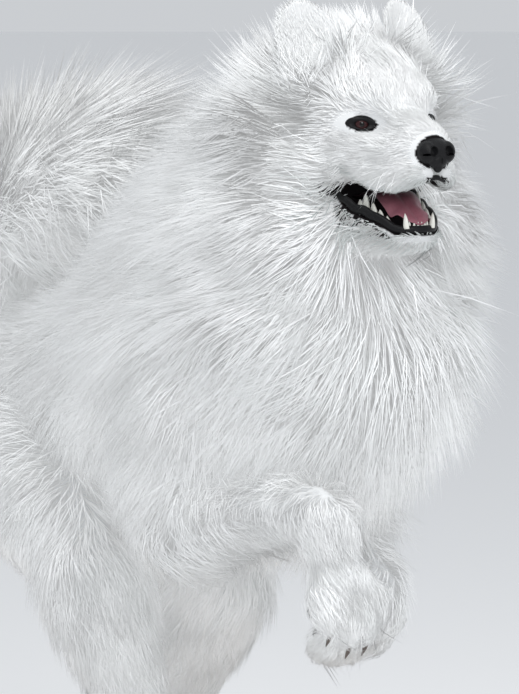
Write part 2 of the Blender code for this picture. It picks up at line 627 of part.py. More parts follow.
def almond(centre, axes, wide, high, near, far):
    """A prism with an almond's outline along the gaze."""
    outline = [(-1.0, 0), (-0.6, 0.62), (-0.1, 1.0), (0.45, 0.78), (1.0, 0), (0.5, -0.66), (0, -0.9),
               (-0.55, -0.72)]
    points, count = [], len(outline)
    for reach, flare in ((near, 0.9), (far, 1.5)):
        points += [centre + axes @ np.array([reach, a * wide * flare, b * high * flare]) for a, b in outline]
    faces = [tuple(range(count)), tuple(range(2 * count - 1, count - 1, -1))]
    faces += [(i, (i + 1) % count, count + (i + 1) % count, count + i) for i in range(count)]
    return outward_facing(mesh_object("almond", points, faces))


def with_eyes(head):
    """Cuts the orbits, adds the lids round each eye and opens them. Returns the eyes."""
    eyes = []
    for y, side in ((-1, "right"), (1, "left")):
        centre, axes = eye_frame(y)
        hollow = ball(centre + axes @ np.array([0.0235, -0.001, 0.001]), (0.0150, 0.0170, 0.0120), axes, 2)
        boolean(head, [hollow], "DIFFERENCE")
        boolean(head, [ball(centre, LID_RADII, axes, 2)], "UNION")
        opening = almond(centre, axes, EYE_OPENING[0], EYE_OPENING[1], 0.002, 0.022)
        boolean(head, [opening], "DIFFERENCE")
        boolean(head, [ball(centre, (EYE_RADIUS + GAP,) * 3, axes, 2)], "DIFFERENCE")
        eye = ball(centre, (EYE_RADIUS,) * 3, axes, 2)
        eye.name = "eye_" + side
        eyes.append(eye)
    return eyes


def ear_form(y, name):
    """A cupped, rounded ear: rings up its height, each an ellipse bent back in its middle."""
    rings, sides = 7, 10
    up = np.linspace(0, 1, rings)
    base, tip = np.array(EAR_BASE), np.array(EAR_TIP)
    middle = base + (tip - base) * up[:, None]
    middle[:, 0] += 0.010 * np.sin(math.pi * up)
    wide = EAR_WIDTH / 2 * np.interp(up, [0, 0.25, 0.5, 0.75, 0.9, 1.0], [0.92, 1.0, 0.96, 0.76, 0.52, 0.16])
    thick = np.interp(up, [0, 0.5, 1.0], [0.0060, 0.0040, 0.0018])
    cup = 0.016 * np.interp(up, [0, 0.6, 1.0], [1.0, 0.6, 0.05])
    turn = np.arange(sides) * 2 * math.pi / sides
    points = []
    for m, w, t, c in zip(middle, wide, thick, cup):
        across, over = w * np.cos(turn), t * np.sin(turn) - c * (1 - np.cos(turn) ** 2) + c * 0.5
        face = math.radians(EAR_TURN)
        f = m[0] + over * math.cos(face) - across * math.sin(face)
        s = m[1] + over * math.sin(face) + across * math.cos(face)
        points += [on_head(a, b * y, m[2]) for a, b in zip(f, s)]
    faces = [tuple(range(sides)), tuple(range(rings * sides - 1, (rings - 1) * sides - 1, -1))]
    for i in range(rings - 1):
        for j in range(sides):
            k = (j + 1) % sides
            faces.append((i * sides + j, i * sides + k, (i + 1) * sides + k, (i + 1) * sides + j))
    return outward_facing(mesh_object(name, points, faces))


def tooth(base, height, radius, lean=(0, 0, 0)):
    """A tooth in the head's frame; its root is sunk by half its height."""
    base = np.asarray(base, float)
    up, lean = np.array([0, 0, height]), np.asarray(lean, float)
    path = [on_head(*(base - 0.5 * up)), on_head(*(base + 0.5 * up + 0.3 * lean)), on_head(*(base + up + lean))]
    return spike(path, (radius, radius * 0.72), (radius, radius * 0.72), (0, 1, 0))


def lower_teeth():
    teeth = []
    for y in (-1, 1):
        teeth.append(tooth((0.0425, 0.0150 * y, -0.0955), 0.0130, 0.0030, (-0.001, 0.002 * y, 0)))
        for f, w, u, h, r in ((0.0475, 0.0025, -0.0960, 0.0040, 0.0017), (0.0472, 0.0062, -0.0960, 0.0042, 0.0018),
                              (0.0462, 0.0100, -0.0960, 0.0046, 0.0019), (0.024, 0.0245, -0.0870, 0.0040, 0.0026),
                              (0.012, 0.0255, -0.0830, 0.0070, 0.0034), (-0.002, 0.0275, -0.0780, 0.0085, 0.0042)):
            teeth.append(tooth((f, w * y, u), h, r))
    return teeth


def upper_teeth():
    teeth = []
    for y in (-1, 1):
        teeth.append(tooth((0.0580, 0.0190 * y, -0.0530), -0.0110, 0.0030, (-0.001, 0, 0)))
    return teeth


# Feet

def paw(name, root, knuckles, toes, dorsal, ankle, sole=None):
    """A foot with four toes, pads and claws. dorsal points out of its upper side."""
    ahead = unit(toes - knuckles)
    side = unit(np.cross(dorsal, ahead))
    up = np.cross(ahead, side)
    axes = np.array([ahead, side, up]).T

    def place(f, s, u):
        return knuckles + axes @ np.array([f, s, u])

    middle = (root + knuckles) / 2
    forms = [tube([(*(root * 1.15 - middle * 0.15), 0.012, 0.012), (*root, ankle, ankle), (*middle, 0.023, 0.019),
                   (*knuckles, 0.030, 0.018), (*place(0.020, 0, 0), 0.022, 0.012)], coated=CORE_SHARE * 0.6)]
    claws = []
    for s, f in ((-0.0270, -0.006), (-0.0095, 0.008), (0.0095, 0.008), (0.0270, -0.006)):
        forms.append(ball(place(0.016 + f, s, 0.002), (0.023, 0.0122, 0.0142), axes))
        forms.append(ball(place(0.020 + f, s * 0.95, -0.0095), (0.0120, 0.0082, 0.0062), axes))
        tip = 0.036 + f
        curve = [place(tip - 0.008, s, 0.003), place(tip + 0.003, s, 0.0005), place(tip + 0.010, s, -0.0065)]
        claws.append(spike(curve, (0.0027, 0.0022), (0.0031, 0.0026), side))
    forms.append(ball(place(-0.008, 0, -0.0110), (0.0160, 0.0190, 0.0070), axes))
    foot = fused(name, forms, 0.0036, 3, PAW_TRIANGLES)
    boolean(foot, claws, "UNION")
    if sole is not None:
        boolean(foot, [block((-1, -1, -1), (1, 1, sole))], "DIFFERENCE")
    return largest(foot)


def paws():
    feet = {}
    for side in ("right", "left"):
        j, k = FORE[side], HIND[side]
        knuckles = j["wrist"] + (j["toes"] - j["wrist"]) * 0.56
        feet["forepaw_" + side] = paw("forepaw_" + side, j["wrist"], knuckles, j["toes"],
                                      np.cross(j["toes"] - j["wrist"], (0, -1, 0)), 0.023)
        feet["hindpaw_" + side] = paw("hindpaw_" + side, k["hock"] * 0.35 + k["ball"] * 0.65, k["ball"], k["toes"],
                                      (0, 0, 1), 0.017, SOLE_Z)
    return feet


# Stand

def stand():
    base = block((BASE_CENTRE[0] - BASE_SIZE[0] / 2, BASE_CENTRE[1] - BASE_SIZE[1] / 2, 0),
                 (BASE_CENTRE[0] + BASE_SIZE[0] / 2, BASE_CENTRE[1] + BASE_SIZE[1] / 2, BASE_SIZE[2]))
    base.name = "stand_base"
    mesh = bmesh.new()
    mesh.from_mesh(base.data)
    upright = [e for e in mesh.edges if abs(e.verts[0].co.z - e.verts[1].co.z) > 0.01]
    bmesh.ops.bevel(mesh, geom=upright, offset=BASE_CORNER, segments=5, affect="EDGES", profile=0.5)
    rim = [e for e in mesh.edges if all(v.co.z > BASE_SIZE[2] - 1e-6 for v in e.verts) and e.is_manifold
           and any(abs(f.normal.z) < 0.1 for f in e.link_faces)]
    bmesh.ops.bevel(mesh, geom=rim, offset=BASE_EDGE, segments=2, affect="EDGES", profile=0.5)
    bmesh.ops.triangulate(mesh, faces=mesh.faces)
    mesh.to_mesh(base.data)
    mesh.free()
    foot = BASE_SIZE[2] + GAP
    profile = [(0, foot), (ROD_FLANGE, foot), (ROD_FLANGE, foot + 0.004), (ROD_FLANGE - 0.002, foot + 0.006),
               (ROD_RADIUS, foot + 0.006), (ROD_RADIUS, ROD_TOP), (0, ROD_TOP)]
    return base, lathe("stand_rod", profile, ROD_AT, 16)


def lathe(name, profile, axis, sides):
    """A turned form: radius and height of each step of its profile, which starts and ends on the axis."""
    points = [(axis[0], axis[1], profile[0][1]), (axis[0], axis[1], profile[-1][1])]
    faces, inner = [], profile[1:-1]
    for r, z in inner:
        points += [(axis[0] + r * math.cos(t), axis[1] + r * math.sin(t), z)
                   for t in np.arange(sides) * 2 * math.pi / sides]
    for j in range(sides):
        k = (j + 1) % sides
        faces.append((0, 2 + k, 2 + j))
        top = 2 + (len(inner) - 1) * sides
        faces.append((1, top + j, top + k))
        for i in range(len(inner) - 1):
            a, b = 2 + i * sides, 2 + (i + 1) * sides
            faces.append((a + j, a + k, b + k, b + j))
    return outward_facing(mesh_object(name, points, faces))


# Locks of the coat

def lock(root, normal, lie, length, rise, wide, thick, rings, sway, grow=0.0):
    """One flat lock: it starts in the core, rises, bends over along the lie and ends in a point."""
    side = unit(np.cross(normal, lie))
    share = np.linspace(0.30, 1.0, rings)
    path = [root - normal * LOCK_ROOT - lie * 0.3 * LOCK_ROOT]
    for s in share:
        path.append(root + lie * length * s + normal * rise * (1 - (1 - s) ** 1.4)
                    + side * sway * math.sin(s * math.pi * 0.8))
    width = np.interp(np.r_[0.0, share[:-1]], [0, 0.30, 0.55, 0.8, 1.0], [0.62, 1.0, 0.86, 0.52, 0.2]) * wide
    depth = np.interp(np.r_[0.0, share[:-1]], [0, 0.22, 0.6, 1.0], [1.0, 1.0, 0.75, 0.4]) * thick
    return spike(path, width + grow, depth + grow, side, RIDGE)


def tree(obj):
    return BVHTree.FromPolygons([v.co[:] for v in obj.data.vertices], [p.vertices[:] for p in obj.data.polygons])


def surface_points(obj, count):
    """Random points spread evenly over the object, with smooth normals."""
    mesh = obj.data
    mesh.calc_loop_triangles()
    corner = np.array([t.vertices[:] for t in mesh.loop_triangles])
    points = np.array([v.co[:] for v in mesh.vertices])
    normals = np.array([v.normal[:] for v in mesh.vertices])
    a, b, c = (points[corner[:, i]] for i in range(3))
    area = np.linalg.norm(np.cross(b - a, c - a), axis=1)
    pick = rng.choice(len(corner), count, p=area / area.sum())
    u, v = rng.random(count), rng.random(count)
    u, v = np.where(u + v > 1, 1 - u, u), np.where(u + v > 1, 1 - v, v)
    share = np.stack([1 - u - v, u, v])
    place = sum(share[i][:, None] * points[corner[pick, i]] for i in range(3))
    normal = sum(share[i][:, None] * normals[corner[pick, i]] for i in range(3))
    return place, unit(normal)


def tail_coat(points):
    """The same as coat, for the tail: its hair follows the bone and stands out from it."""
    bone = spline([(*p, 0) for p in TAIL], 60)[:, :3]
    ahead = unit(np.gradient(bone, axis=0))
    near = np.argmin(np.linalg.norm(points[:, None] - bone, axis=-1), axis=1)
    share = near / 59
    depth = TAIL_COAT * np.interp(share, [0, 0.15, 0.4, 0.8, 1], [0.25, 0.5, 0.85, 1.0, 0.7])
    centre = np.array([TAIL_CURL[0], 0.0, TAIL_CURL[1] + SOLE_Z])
    inner = np.einsum("ij,ij->i", unit(points - bone[near]), unit(bone[near] - centre))
    depth = depth * np.interp(inner, [-1, 0, 1], [0.35, 0.7, 1.0])
    return depth, ahead[near], np.interp(share, [0, 0.15, 0.35, 1], [16.0, 24.0, 42.0, 36.0])


def add_locks(node, field, nodes, grown_before, close=1.0):
    """Grows locks on the node, clear of all other nodes and of the locks they carry, and joins them to it."""
    others = [tree(o) for o in nodes if o is not node] + grown_before
    place, normal = surface_points(node, LOCK_TRIES)
    depth, lie, lift = field(place)
    spacing = np.interp(depth, [0.02, 0.05, 0.12], LOCK_SPACING) * close
    roots, locks, grown = [], [], []
    for p, n, d, l, a, gap in zip(place, normal, depth, lie, lift, spacing):
        if d < LOCK_LEAST or (roots and np.linalg.norm(np.array(roots) - p, axis=1).min() < gap):
            continue
        if any(t.find_nearest(Vector(p + n * 0.004))[3] < 0.007 for t in others):
            continue
        along = l - n * (n @ l)
        if np.linalg.norm(along) < 0.2:
            continue
        along = unit(along)
        turn = rng.uniform(-0.30, 0.30)
        along = along * math.cos(turn) + np.cross(n, along) * math.sin(turn)
        size, sway = rng.uniform(0.85, 1.15), rng.uniform(-0.12, 0.12)
        for shrink, steep in ((1, 1), (1, 0.8), (0.9, 1.25), (0.75, 1.4), (0.6, 1.55)):
            rise = (1 - CORE_SHARE) * d * size * shrink ** 0.5 * steep ** 0.5
            length = min(rise / math.tan(math.radians(min(a * steep, 70))) * 1.25 * shrink + 0.02, 2.0 * d + 0.02)
            wide = LOCK_WIDTH * gap / close
            rings = 3 if d > 0.06 else 2
            sizes = (p, n, along, length, rise, wide, 0.0045, rings, sway * length)
            trial = lock(*sizes, grow=0.0007)
            shape = tree(trial)
            removed([trial])
            if trial_clear(shape, others) and (shrink < 0.7 or trial_clear(shape, grown)):
                roots.append(p)
                locks.append(lock(*sizes))
                grown.append(shape)
                break
    if locks:
        boolean(node, locks, "UNION")
        near = [tree(o) for o in nodes if o is not node]

        def away(points):
            return [float(all(t.find_nearest(Vector(p), 0.004)[0] is None for t in near)) for p in points]

        thinned(node, int(triangle_count(node) * LOCK_THINNED), away)
        largest(node)
    return grown


def trial_clear(shape, others):
    return not any(shape.overlap(t) for t in others)


# Whole and nodes

def taken(body, name, region, grown):
    """Takes what lies in the region off the body as a node; the body is left clear of the grown region."""
    piece = boolean(copied(body), [region], "INTERSECT")
    piece.name = name
    boolean(body, [grown], "DIFFERENCE")
    return largest(piece)


def taken_box(body, name, low, high):
    low, high = np.array(low, float), np.array(high, float)
    return taken(body, name, block(low, high), block(low - GAP, high + GAP))


def cleared(obj, *others):
    """Cuts the object GAP clear of the others."""
    for other in others:
        boolean(obj, [copied(other, GAP)], "DIFFERENCE")
    return largest(obj)


def dressed(obj, name, colour, roughness, metallic=0.0, smooth=False):
    obj.name = obj.data.name = name
    material = bpy.data.materials.new(name)
    material.use_nodes = True
    shader = material.node_tree.nodes["Principled BSDF"]
    shader.inputs["Base Color"].default_value = (*colour, 1)
    shader.inputs["Roughness"].default_value = roughness
    shader.inputs["Metallic"].default_value = metallic
    material.diffuse_color = (*colour, 1)
    obj.data.materials.clear()
    obj.data.materials.append(material)
    obj.data.polygons.foreach_set("use_smooth", [smooth] * len(obj.data.polygons))


def main():
    for obj in list(bpy.data.objects):
        bpy.data.objects.remove(obj)

    head = fused("head", head_forms(), 0.003, 3, HEAD_TRIANGLES, face_detail)
    jaw = fused("lower_jaw", jaw_forms(), 0.0028, 2, JAW_TRIANGLES)
    for form in (head, jaw):
        for void in mouth_cutters():
            boolean(form, [void], "DIFFERENCE")
    nose, tongue = nose_form(), tongue_form()
    cleared(head, nose)
    nostrils(nose)
    cleared(head, tongue)
    cleared(jaw, head, tongue)
    eyes = with_eyes(head)
    boolean(head, upper_teeth(), "UNION")
    boolean(jaw, lower_teeth(), "UNION")
    largest(head)
    largest(jaw)
    ears = [cleared(ear_form(-1, "ear_right"), head), cleared(ear_form(1, "ear_left"), head)]

    body = fused("torso", trunk_forms() + neck_forms() + leg_forms(), 0.007, 8, BODY_TRIANGLES)
    boolean(body, [block((-1, -1, -1), (1, 1, SOLE_Z))], "DIFFERENCE")
    normal = unit(NECK_NORMAL)
    point = at(NECK_AT[0], 0, NECK_AT[1])
    neck = taken(body, "neck", slab(point, normal, 0.8), slab(point - normal * GAP, normal, 0.8))
    legs = {}
    for y, side in ((-1, "right"), (1, "left")):
        behind, below = FORE_END[side]
        low, high = sorted((FORE_BOX[0] * y, 0.4 * y))
        legs["foreleg_" + side] = taken_box(body, "foreleg_" + side, (behind, low, below + SOLE_Z),
                                            (0.6, high, FORE_BOX[1] + SOLE_Z))
        low, high = sorted((HIND_BOX[1] * y, 0.4 * y))
        legs["hindleg_" + side] = taken_box(body, "hindleg_" + side, (-0.6, low, -0.1),
                                            (HIND_BOX[0], high, HIND_BOX[2] + SOLE_Z))
    torso = largest(body)
    torso.name = "torso"
    cleared(neck, head, jaw, *ears)
    tail = cleared(tail_form(), torso, neck)
    bend = TAIL[TAIL_JOINT]
    plume = taken(tail, "tail_plume", slab(bend, TAIL_AHEAD, 0.5), slab(bend - TAIL_AHEAD * GAP, TAIL_AHEAD, 0.5))
    largest(tail)
    tail.name = "tail_root"
    feet = paws()
    for side in ("right", "left"):
        cleared(feet["forepaw_" + side], legs["foreleg_" + side])
        cleared(feet["hindpaw_" + side], legs["hindleg_" + side])
    base, rod = stand()
    cleared(torso, rod)

    nodes = [torso, neck, head, jaw, nose, tongue, tail, plume, base, rod, *eyes, *ears]
    nodes += [*legs.values(), *feet.values()]
    grown = add_locks(neck, coat, nodes, [])
    for node in (torso, head, jaw, *legs.values()):
        grown += add_locks(node, coat, nodes, grown)
    for node in (plume, tail):
        grown += add_locks(node, tail_coat, nodes, grown, 0.80)

    white = (0.84, 0.86, 0.87)
    for obj in (torso, neck, head, jaw, tail, plume, *ears, *legs.values(), *feet.values()):
        dressed(obj, obj.name, white, 0.9)
    dressed(nose, "nose", (0.02, 0.021, 0.022), 0.42, smooth=True)
    dressed(tongue, "tongue", (0.55, 0.22, 0.26), 0.35, smooth=True)
    for eye in eyes:
        dressed(eye, eye.name, (0.045, 0.022, 0.014), 0.06, smooth=True)
    dressed(base, "stand_base", (0.33, 0.34, 0.35), 0.5)
    dressed(rod, "stand_rod", (0.62, 0.63, 0.65), 0.28, 1.0)


if __name__ == "__main__":
    main()
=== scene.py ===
# Looks of a life-size samoyed: one skin, its coat in tufts, the face, the feet and the stand's finish
import math

import bmesh
import bpy
import numpy as np
from mathutils import Matrix, Vector


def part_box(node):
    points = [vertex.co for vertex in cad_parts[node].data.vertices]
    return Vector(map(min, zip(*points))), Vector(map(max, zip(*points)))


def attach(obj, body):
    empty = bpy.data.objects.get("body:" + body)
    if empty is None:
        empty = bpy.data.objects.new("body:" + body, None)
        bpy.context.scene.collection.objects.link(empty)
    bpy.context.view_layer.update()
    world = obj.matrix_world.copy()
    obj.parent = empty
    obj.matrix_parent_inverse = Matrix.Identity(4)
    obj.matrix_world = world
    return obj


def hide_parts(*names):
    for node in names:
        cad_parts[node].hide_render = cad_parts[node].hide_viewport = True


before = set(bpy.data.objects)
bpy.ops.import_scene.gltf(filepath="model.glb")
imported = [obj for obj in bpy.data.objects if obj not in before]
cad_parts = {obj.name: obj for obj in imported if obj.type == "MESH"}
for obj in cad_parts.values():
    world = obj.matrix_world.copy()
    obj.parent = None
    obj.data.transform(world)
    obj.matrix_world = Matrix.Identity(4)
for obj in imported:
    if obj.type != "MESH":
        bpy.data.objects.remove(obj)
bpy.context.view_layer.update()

print("frame loaded", len(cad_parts), "nodes")

# Where the skeleton stands: metres, +X the way the dog faces, +Y its left, heights counted from the soles
pose = {
    "sole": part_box("stand_base")[1].z + 0.0003,
    "hips": (-0.190, 0.425), "trunkPitch": 20,                    # degrees
    "eyes": (0.370, 0.756), "headPitch": 4, "headYaw": -4,
    # its X, and the radius and height kept bare for it
    "rod": (-0.030, 0.014, 0.43),
}


def unit(v):
    v = np.asarray(v, float)
    return v / np.maximum(np.linalg.norm(v, axis=-1, keepdims=True), 1e-9)


def at(x, y, z):
    return np.array([x, y, z + pose["sole"]])


def onTrunk(along, above, y=0.0):
    # a point along the spine from the hips, and above that line
    c, s = math.cos(math.radians(pose["trunkPitch"])), math.sin(math.radians(pose["trunkPitch"]))
    return at(pose["hips"][0] + along * c - above * s, y, pose["hips"][1] + along * s + above * c)


def headAxes():
    # columns: forward, left and up of the head
    p, y = math.radians(pose["headPitch"]), math.radians(pose["headYaw"])
    tilt = np.array([[math.cos(p), 0, -math.sin(p)], [0, 1, 0], [math.sin(p), 0, math.cos(p)]])
    turn = np.array([[math.cos(y), -math.sin(y), 0], [math.sin(y), math.cos(y), 0], [0, 0, 1]])
    return turn @ tilt


headTurn = headAxes()
headOrigin = at(pose["eyes"][0], 0, pose["eyes"][1])


def turned(v):
    return headTurn @ np.asarray(v, float)


def onHead(forward, left, up):
    return headOrigin + turned((forward, left, up))


def outOfHead(points):
    # many points of the head's own frame, as places in the scene
    return points @ headTurn.T + headOrigin


def inHead(points):
    # the points in the head's own frame: forward, left, up from the middle between the eyes
    return (np.atleast_2d(points) - headOrigin) @ headTurn


# The photo's view
view = {
    "azimuth": 53, "elevation": 5, "distance": 4.5, "focal": 4581,     # degrees, metres, pixels
    "picture": (519, 694), "eyesAt": (392, 122),                       # pixels
    "film": 36, "farthest": 50,                                       # millimetres, metres
}


def placeCamera():
    # the camera looks along -back from its distance, shifted sideways until the eyes land on their pixel
    a, e = math.radians(view["azimuth"]), math.radians(view["elevation"])
    back = np.array([math.sin(a) * math.cos(e), -math.cos(a) * math.cos(e), math.sin(e)])
    right = np.array([math.cos(a), math.sin(a), 0])
    up = np.cross(back, right)
    wide, high = view["picture"]
    depth = view["distance"] - headOrigin @ back
    across = headOrigin @ right - (view["eyesAt"][0] - wide / 2) * depth / view["focal"]
    above = headOrigin @ up + (view["eyesAt"][1] - high / 2) * depth / view["focal"]
    lens = bpy.data.cameras.new("camera")
    lens.sensor_width = view["film"]
    lens.lens = view["focal"] * view["film"] / high
    lens.clip_end = view["farthest"]
    camera = bpy.data.objects.new("camera", lens)
    bpy.context.scene.collection.objects.link(camera)
    camera.matrix_world = Matrix.Translation(back * view["distance"] + right * across + up * above) @ Matrix(
        np.array([right, up, back]).T.tolist()).to_4x4()
    bpy.context.scene.camera = camera


placeCamera()

# Joints of the limbs and the bone of the tail
foreleg = {
    "right": {"shoulder": at(0.195, -0.080, 0.520), "elbow": at(0.190, -0.098, 0.390),
              "wrist": at(0.380, -0.088, 0.410), "toes": at(0.424, -0.080, 0.284)},
    "left": {"shoulder": at(0.195, 0.080, 0.520), "elbow": at(0.125, 0.098, 0.415),
             "wrist": at(0.245, 0.085, 0.300), "toes": at(0.160, 0.100, 0.236)},
}
hindleg = {
    "right": {"hip": at(-0.190, -0.070, 0.425), "knee": at(0.030, -0.100, 0.335),
              "hock": at(0.112, -0.085, 0.150), "ball": at(0.135, -0.080, 0.026),
              "toes": at(0.191, -0.078, 0.014)},
    "left": {"hip": at(-0.190, 0.070, 0.425), "knee": at(-0.015, 0.100, 0.300),
             "hock": at(-0.102, 0.085, 0.132), "ball": at(-0.086, 0.080, 0.026),
             "toes": at(-0.030, 0.078, 0.014)},
}
tail = {
    "bone": [onTrunk(-0.055, 0.020), at(-0.262, 0.0, 0.524), at(-0.240, 0.006, 0.598),
             at(-0.184, 0.016, 0.648), at(-0.116, 0.028, 0.662), at(-0.058, 0.040, 0.642)],
    "curl": at(-0.135, 0, 0.530),          # middle of the curl
    "coat": 0.171,                         # longest reach of its hair
    # share of that reach along the bone, the same from the inner side of the curl to the outer, and the
    # hair's lift
    "full": [(0, 0.25), (0.15, 0.5), (0.4, 0.85), (0.8, 1.0), (1, 0.7)],
    "inside": [(-1, 0.35), (0, 0.7), (1, 1.0)],
    "lift": [(0, 16.0), (0.15, 24.0), (0.35, 42.0), (1, 36.0)],        # degrees
}
flip = np.array([1.0, -1.0, 1.0])              # from one side of the body to the other


# Mesh tools

def meshObject(name, points, faces, smooth=True):
    mesh = bpy.data.meshes.new(name)
    mesh.from_pydata(np.asarray(points, float).tolist(), [], [list(map(int, f)) for f in faces])
    mesh.polygons.foreach_set("use_smooth", [smooth] * len(mesh.polygons))
    mesh.update()
    obj = bpy.data.objects.new(name, mesh)
    bpy.context.scene.collection.objects.link(obj)
    return obj


def applied(obj):
    graph = bpy.context.evaluated_depsgraph_get()
    mesh = bpy.data.meshes.new_from_object(obj.evaluated_get(graph))
    obj.modifiers.clear()
    old, obj.data = obj.data, mesh
    bpy.data.meshes.remove(old)
    return obj


def removed(objects):
    for obj in objects:
        mesh = obj.data
        bpy.data.objects.remove(obj)
        bpy.data.meshes.remove(mesh)


def outward(obj):
    mesh = bmesh.new()
    mesh.from_mesh(obj.data)
    bmesh.ops.remove_doubles(mesh, verts=mesh.verts, dist=1e-7)
    bmesh.ops.recalc_face_normals(mesh, faces=mesh.faces)
    mesh.to_mesh(obj.data)
    mesh.free()
    return obj


def coordinates(obj):
    points = np.empty(len(obj.data.vertices) * 3)
    obj.data.vertices.foreach_get("co", points)
    return points.reshape(-1, 3)


def moved(obj, points):
    obj.data.vertices.foreach_set("co", np.asarray(points, float).ravel())
    obj.data.update()


def spline(values, count):
    # Catmull-Rom curve through the rows of values, at count even steps of chord length
    values = np.asarray(values, float)
    chord = np.r_[0, np.cumsum(np.linalg.norm(np.diff(values[:, :3], axis=0), axis=1))]
    slope = np.gradient(values, chord, axis=0)
    t = np.linspace(0, chord[-1], count)
    i = np.clip(np.searchsorted(chord, t, side="right") - 1, 0, len(chord) - 2)
    h = (chord[i + 1] - chord[i])[:, None]
    u = (t[:, None] - chord[i][:, None]) / h
    return ((2 * u ** 3 - 3 * u ** 2 + 1) * values[i] + (u ** 3 - 2 * u ** 2 + u) * h * slope[i]
            + (3 * u ** 2 - 2 * u ** 3) * values[i + 1] + (u ** 3 - u ** 2) * h * slope[i + 1])


def circle(sides):
    # even angles round a circle
    return np.arange(sides) * 2 * math.pi / sides


def ringFaces(rings, sides):
    # quads between neighbouring rings, and fans from the two end points that follow the rings' points
    i, j = np.meshgrid(np.arange(rings - 1), np.arange(sides), indexing="ij")
    k = (j + 1) % sides
    quads = np.stack([i * sides + j, i * sides + k, (i + 1) * sides + k, (i + 1) * sides + j], -1)
    j = np.arange(sides)
    k = (j + 1) % sides
    first = np.stack([np.full(sides, rings * sides), k, j], -1)
    last = np.stack([np.full(sides, rings * sides + 1), (rings - 1) * sides + j, (rings - 1) * sides + k], -1)
    return quads.reshape(-1, 4).tolist() + first.tolist() + last.tolist()


def tube(rows, rings=24, sides=20, pinch=0.0, upward=None):
    # each ring: centre + cos(t) * half width * side + sin(t) * half height * up, drawn in by pinch above
    s = spline(rows, rings)
    centre, wide, high = s[:, :3], np.maximum(s[:, 3], 0.0005), np.maximum(s[:, 4], 0.0005)
    ahead = unit(np.gradient(centre, axis=0))
    level = np.array([0, 1, 0]) - ahead * ahead[:, 1:2] if upward is None else np.cross(upward, ahead)
    side = unit(level)
    up = np.cross(ahead, side)
    turn = circle(sides)
    across = np.cos(turn)[None] * wide[:, None] * (1 - pinch * np.sin(turn)[None])
    above = np.sin(turn)[None] * high[:, None]
    ring = centre[:, None] + across[..., None] * side[:, None] + above[..., None] * up[:, None]
    points = np.concatenate([ring.reshape(-1, 3), centre[:1] - ahead[:1] * high[:1] * 0.5,
                             centre[-1:] + ahead[-1:] * high[-1:] * 0.5])
    return outward(meshObject("form", points, ringFaces(rings, sides)))


def ball(centre, radii, axes=None, rings=14, sides=20):
    # an ellipsoid: radii * (cos(a), sin(a) cos(t), sin(a) sin(t)), turned by axes
    a = np.linspace(0, math.pi, rings + 2)[1:-1][:, None]
    t = circle(sides)[None]
    grid = np.stack([np.cos(a) + 0 * t, np.sin(a) * np.cos(t), np.sin(a) * np.sin(t)], -1).reshape(-1, 3)
    points = np.concatenate([grid, [[1, 0, 0], [-1, 0, 0]]]) * radii
    if axes is not None:
        points = points @ np.asarray(axes).T
    return outward(meshObject("ball", points + centre, ringFaces(rings, sides)))


def gathered(name, pieces):
    # the pieces as one mesh
    points, faces = [], []
    for piece in pieces:
        start = len(points)
        points += coordinates(piece).tolist()
        faces += [[i + start for i in p.vertices] for p in piece.data.polygons]
    removed(pieces)
    return meshObject(name, points, faces)


def melted(name, pieces, voxel, smooth):
    # the pieces melted into one closed surface and smoothed
    obj = gathered(name, pieces)
    remesh = obj.modifiers.new("melt", "REMESH")
    remesh.mode = "VOXEL"
    remesh.voxel_size = voxel
    remesh.use_smooth_shade = True
    ease = obj.modifiers.new("ease", "SMOOTH")
    ease.factor, ease.iterations = 0.5, smooth
    return applied(obj)


def combined(obj, others, operation):
    # a Boolean with closed meshes, which are then removed
    group = bpy.data.collections.new("cutters")
    bpy.context.scene.collection.children.link(group)
    for other in others:
        bpy.context.scene.collection.objects.unlink(other)
        group.objects.link(other)
    cut = obj.modifiers.new("cut", "BOOLEAN")
    cut.operation, cut.solver, cut.operand_type, cut.collection = operation, "MANIFOLD", "COLLECTION", group
    applied(obj)
    removed(others)
    bpy.data.collections.remove(group)
    return obj


def shadedSmooth(obj):
    obj.data.polygons.foreach_set("use_smooth", [True] * len(obj.data.polygons))
    return obj


def ramp(x, table):
    # straight lines between the rows of a table of x and value
    places, values = np.array(sorted(table)).T
    return np.interp(x, places, values)


def smoothstep(low, high, x):
    t = np.clip((np.asarray(x, float) - low) / (high - low), 0, 1)
    return t * t * (3 - 2 * t)


def waves(points, scale, seed, layers=4):
    # smooth noise in three channels: a sum of sines along random directions
    draw = np.random.default_rng(seed)
    total = np.zeros((len(points), 3))
    for i in range(layers):
        way = unit(draw.normal(size=(3, 3))) * 2 * math.pi / (scale * (1 - 0.15 * i))
        total += np.sin(points @ way.T + draw.uniform(0, 2 * math.pi, 3))
    return total / layers ** 0.5 / 0.71


# The coat: along each guide line it has one depth, one lie and one lift off the skin, in metres and degrees

def mirrored(rows):
    both = []
    for start, end, depth, lie, lift in rows:
        both.append((start, end, depth, unit(lie), lift))
        if abs(start[1]) + abs(end[1]) > 1e-3:
            both.append((start * flip, end * flip, depth, unit(lie) * flip, lift))
    return both


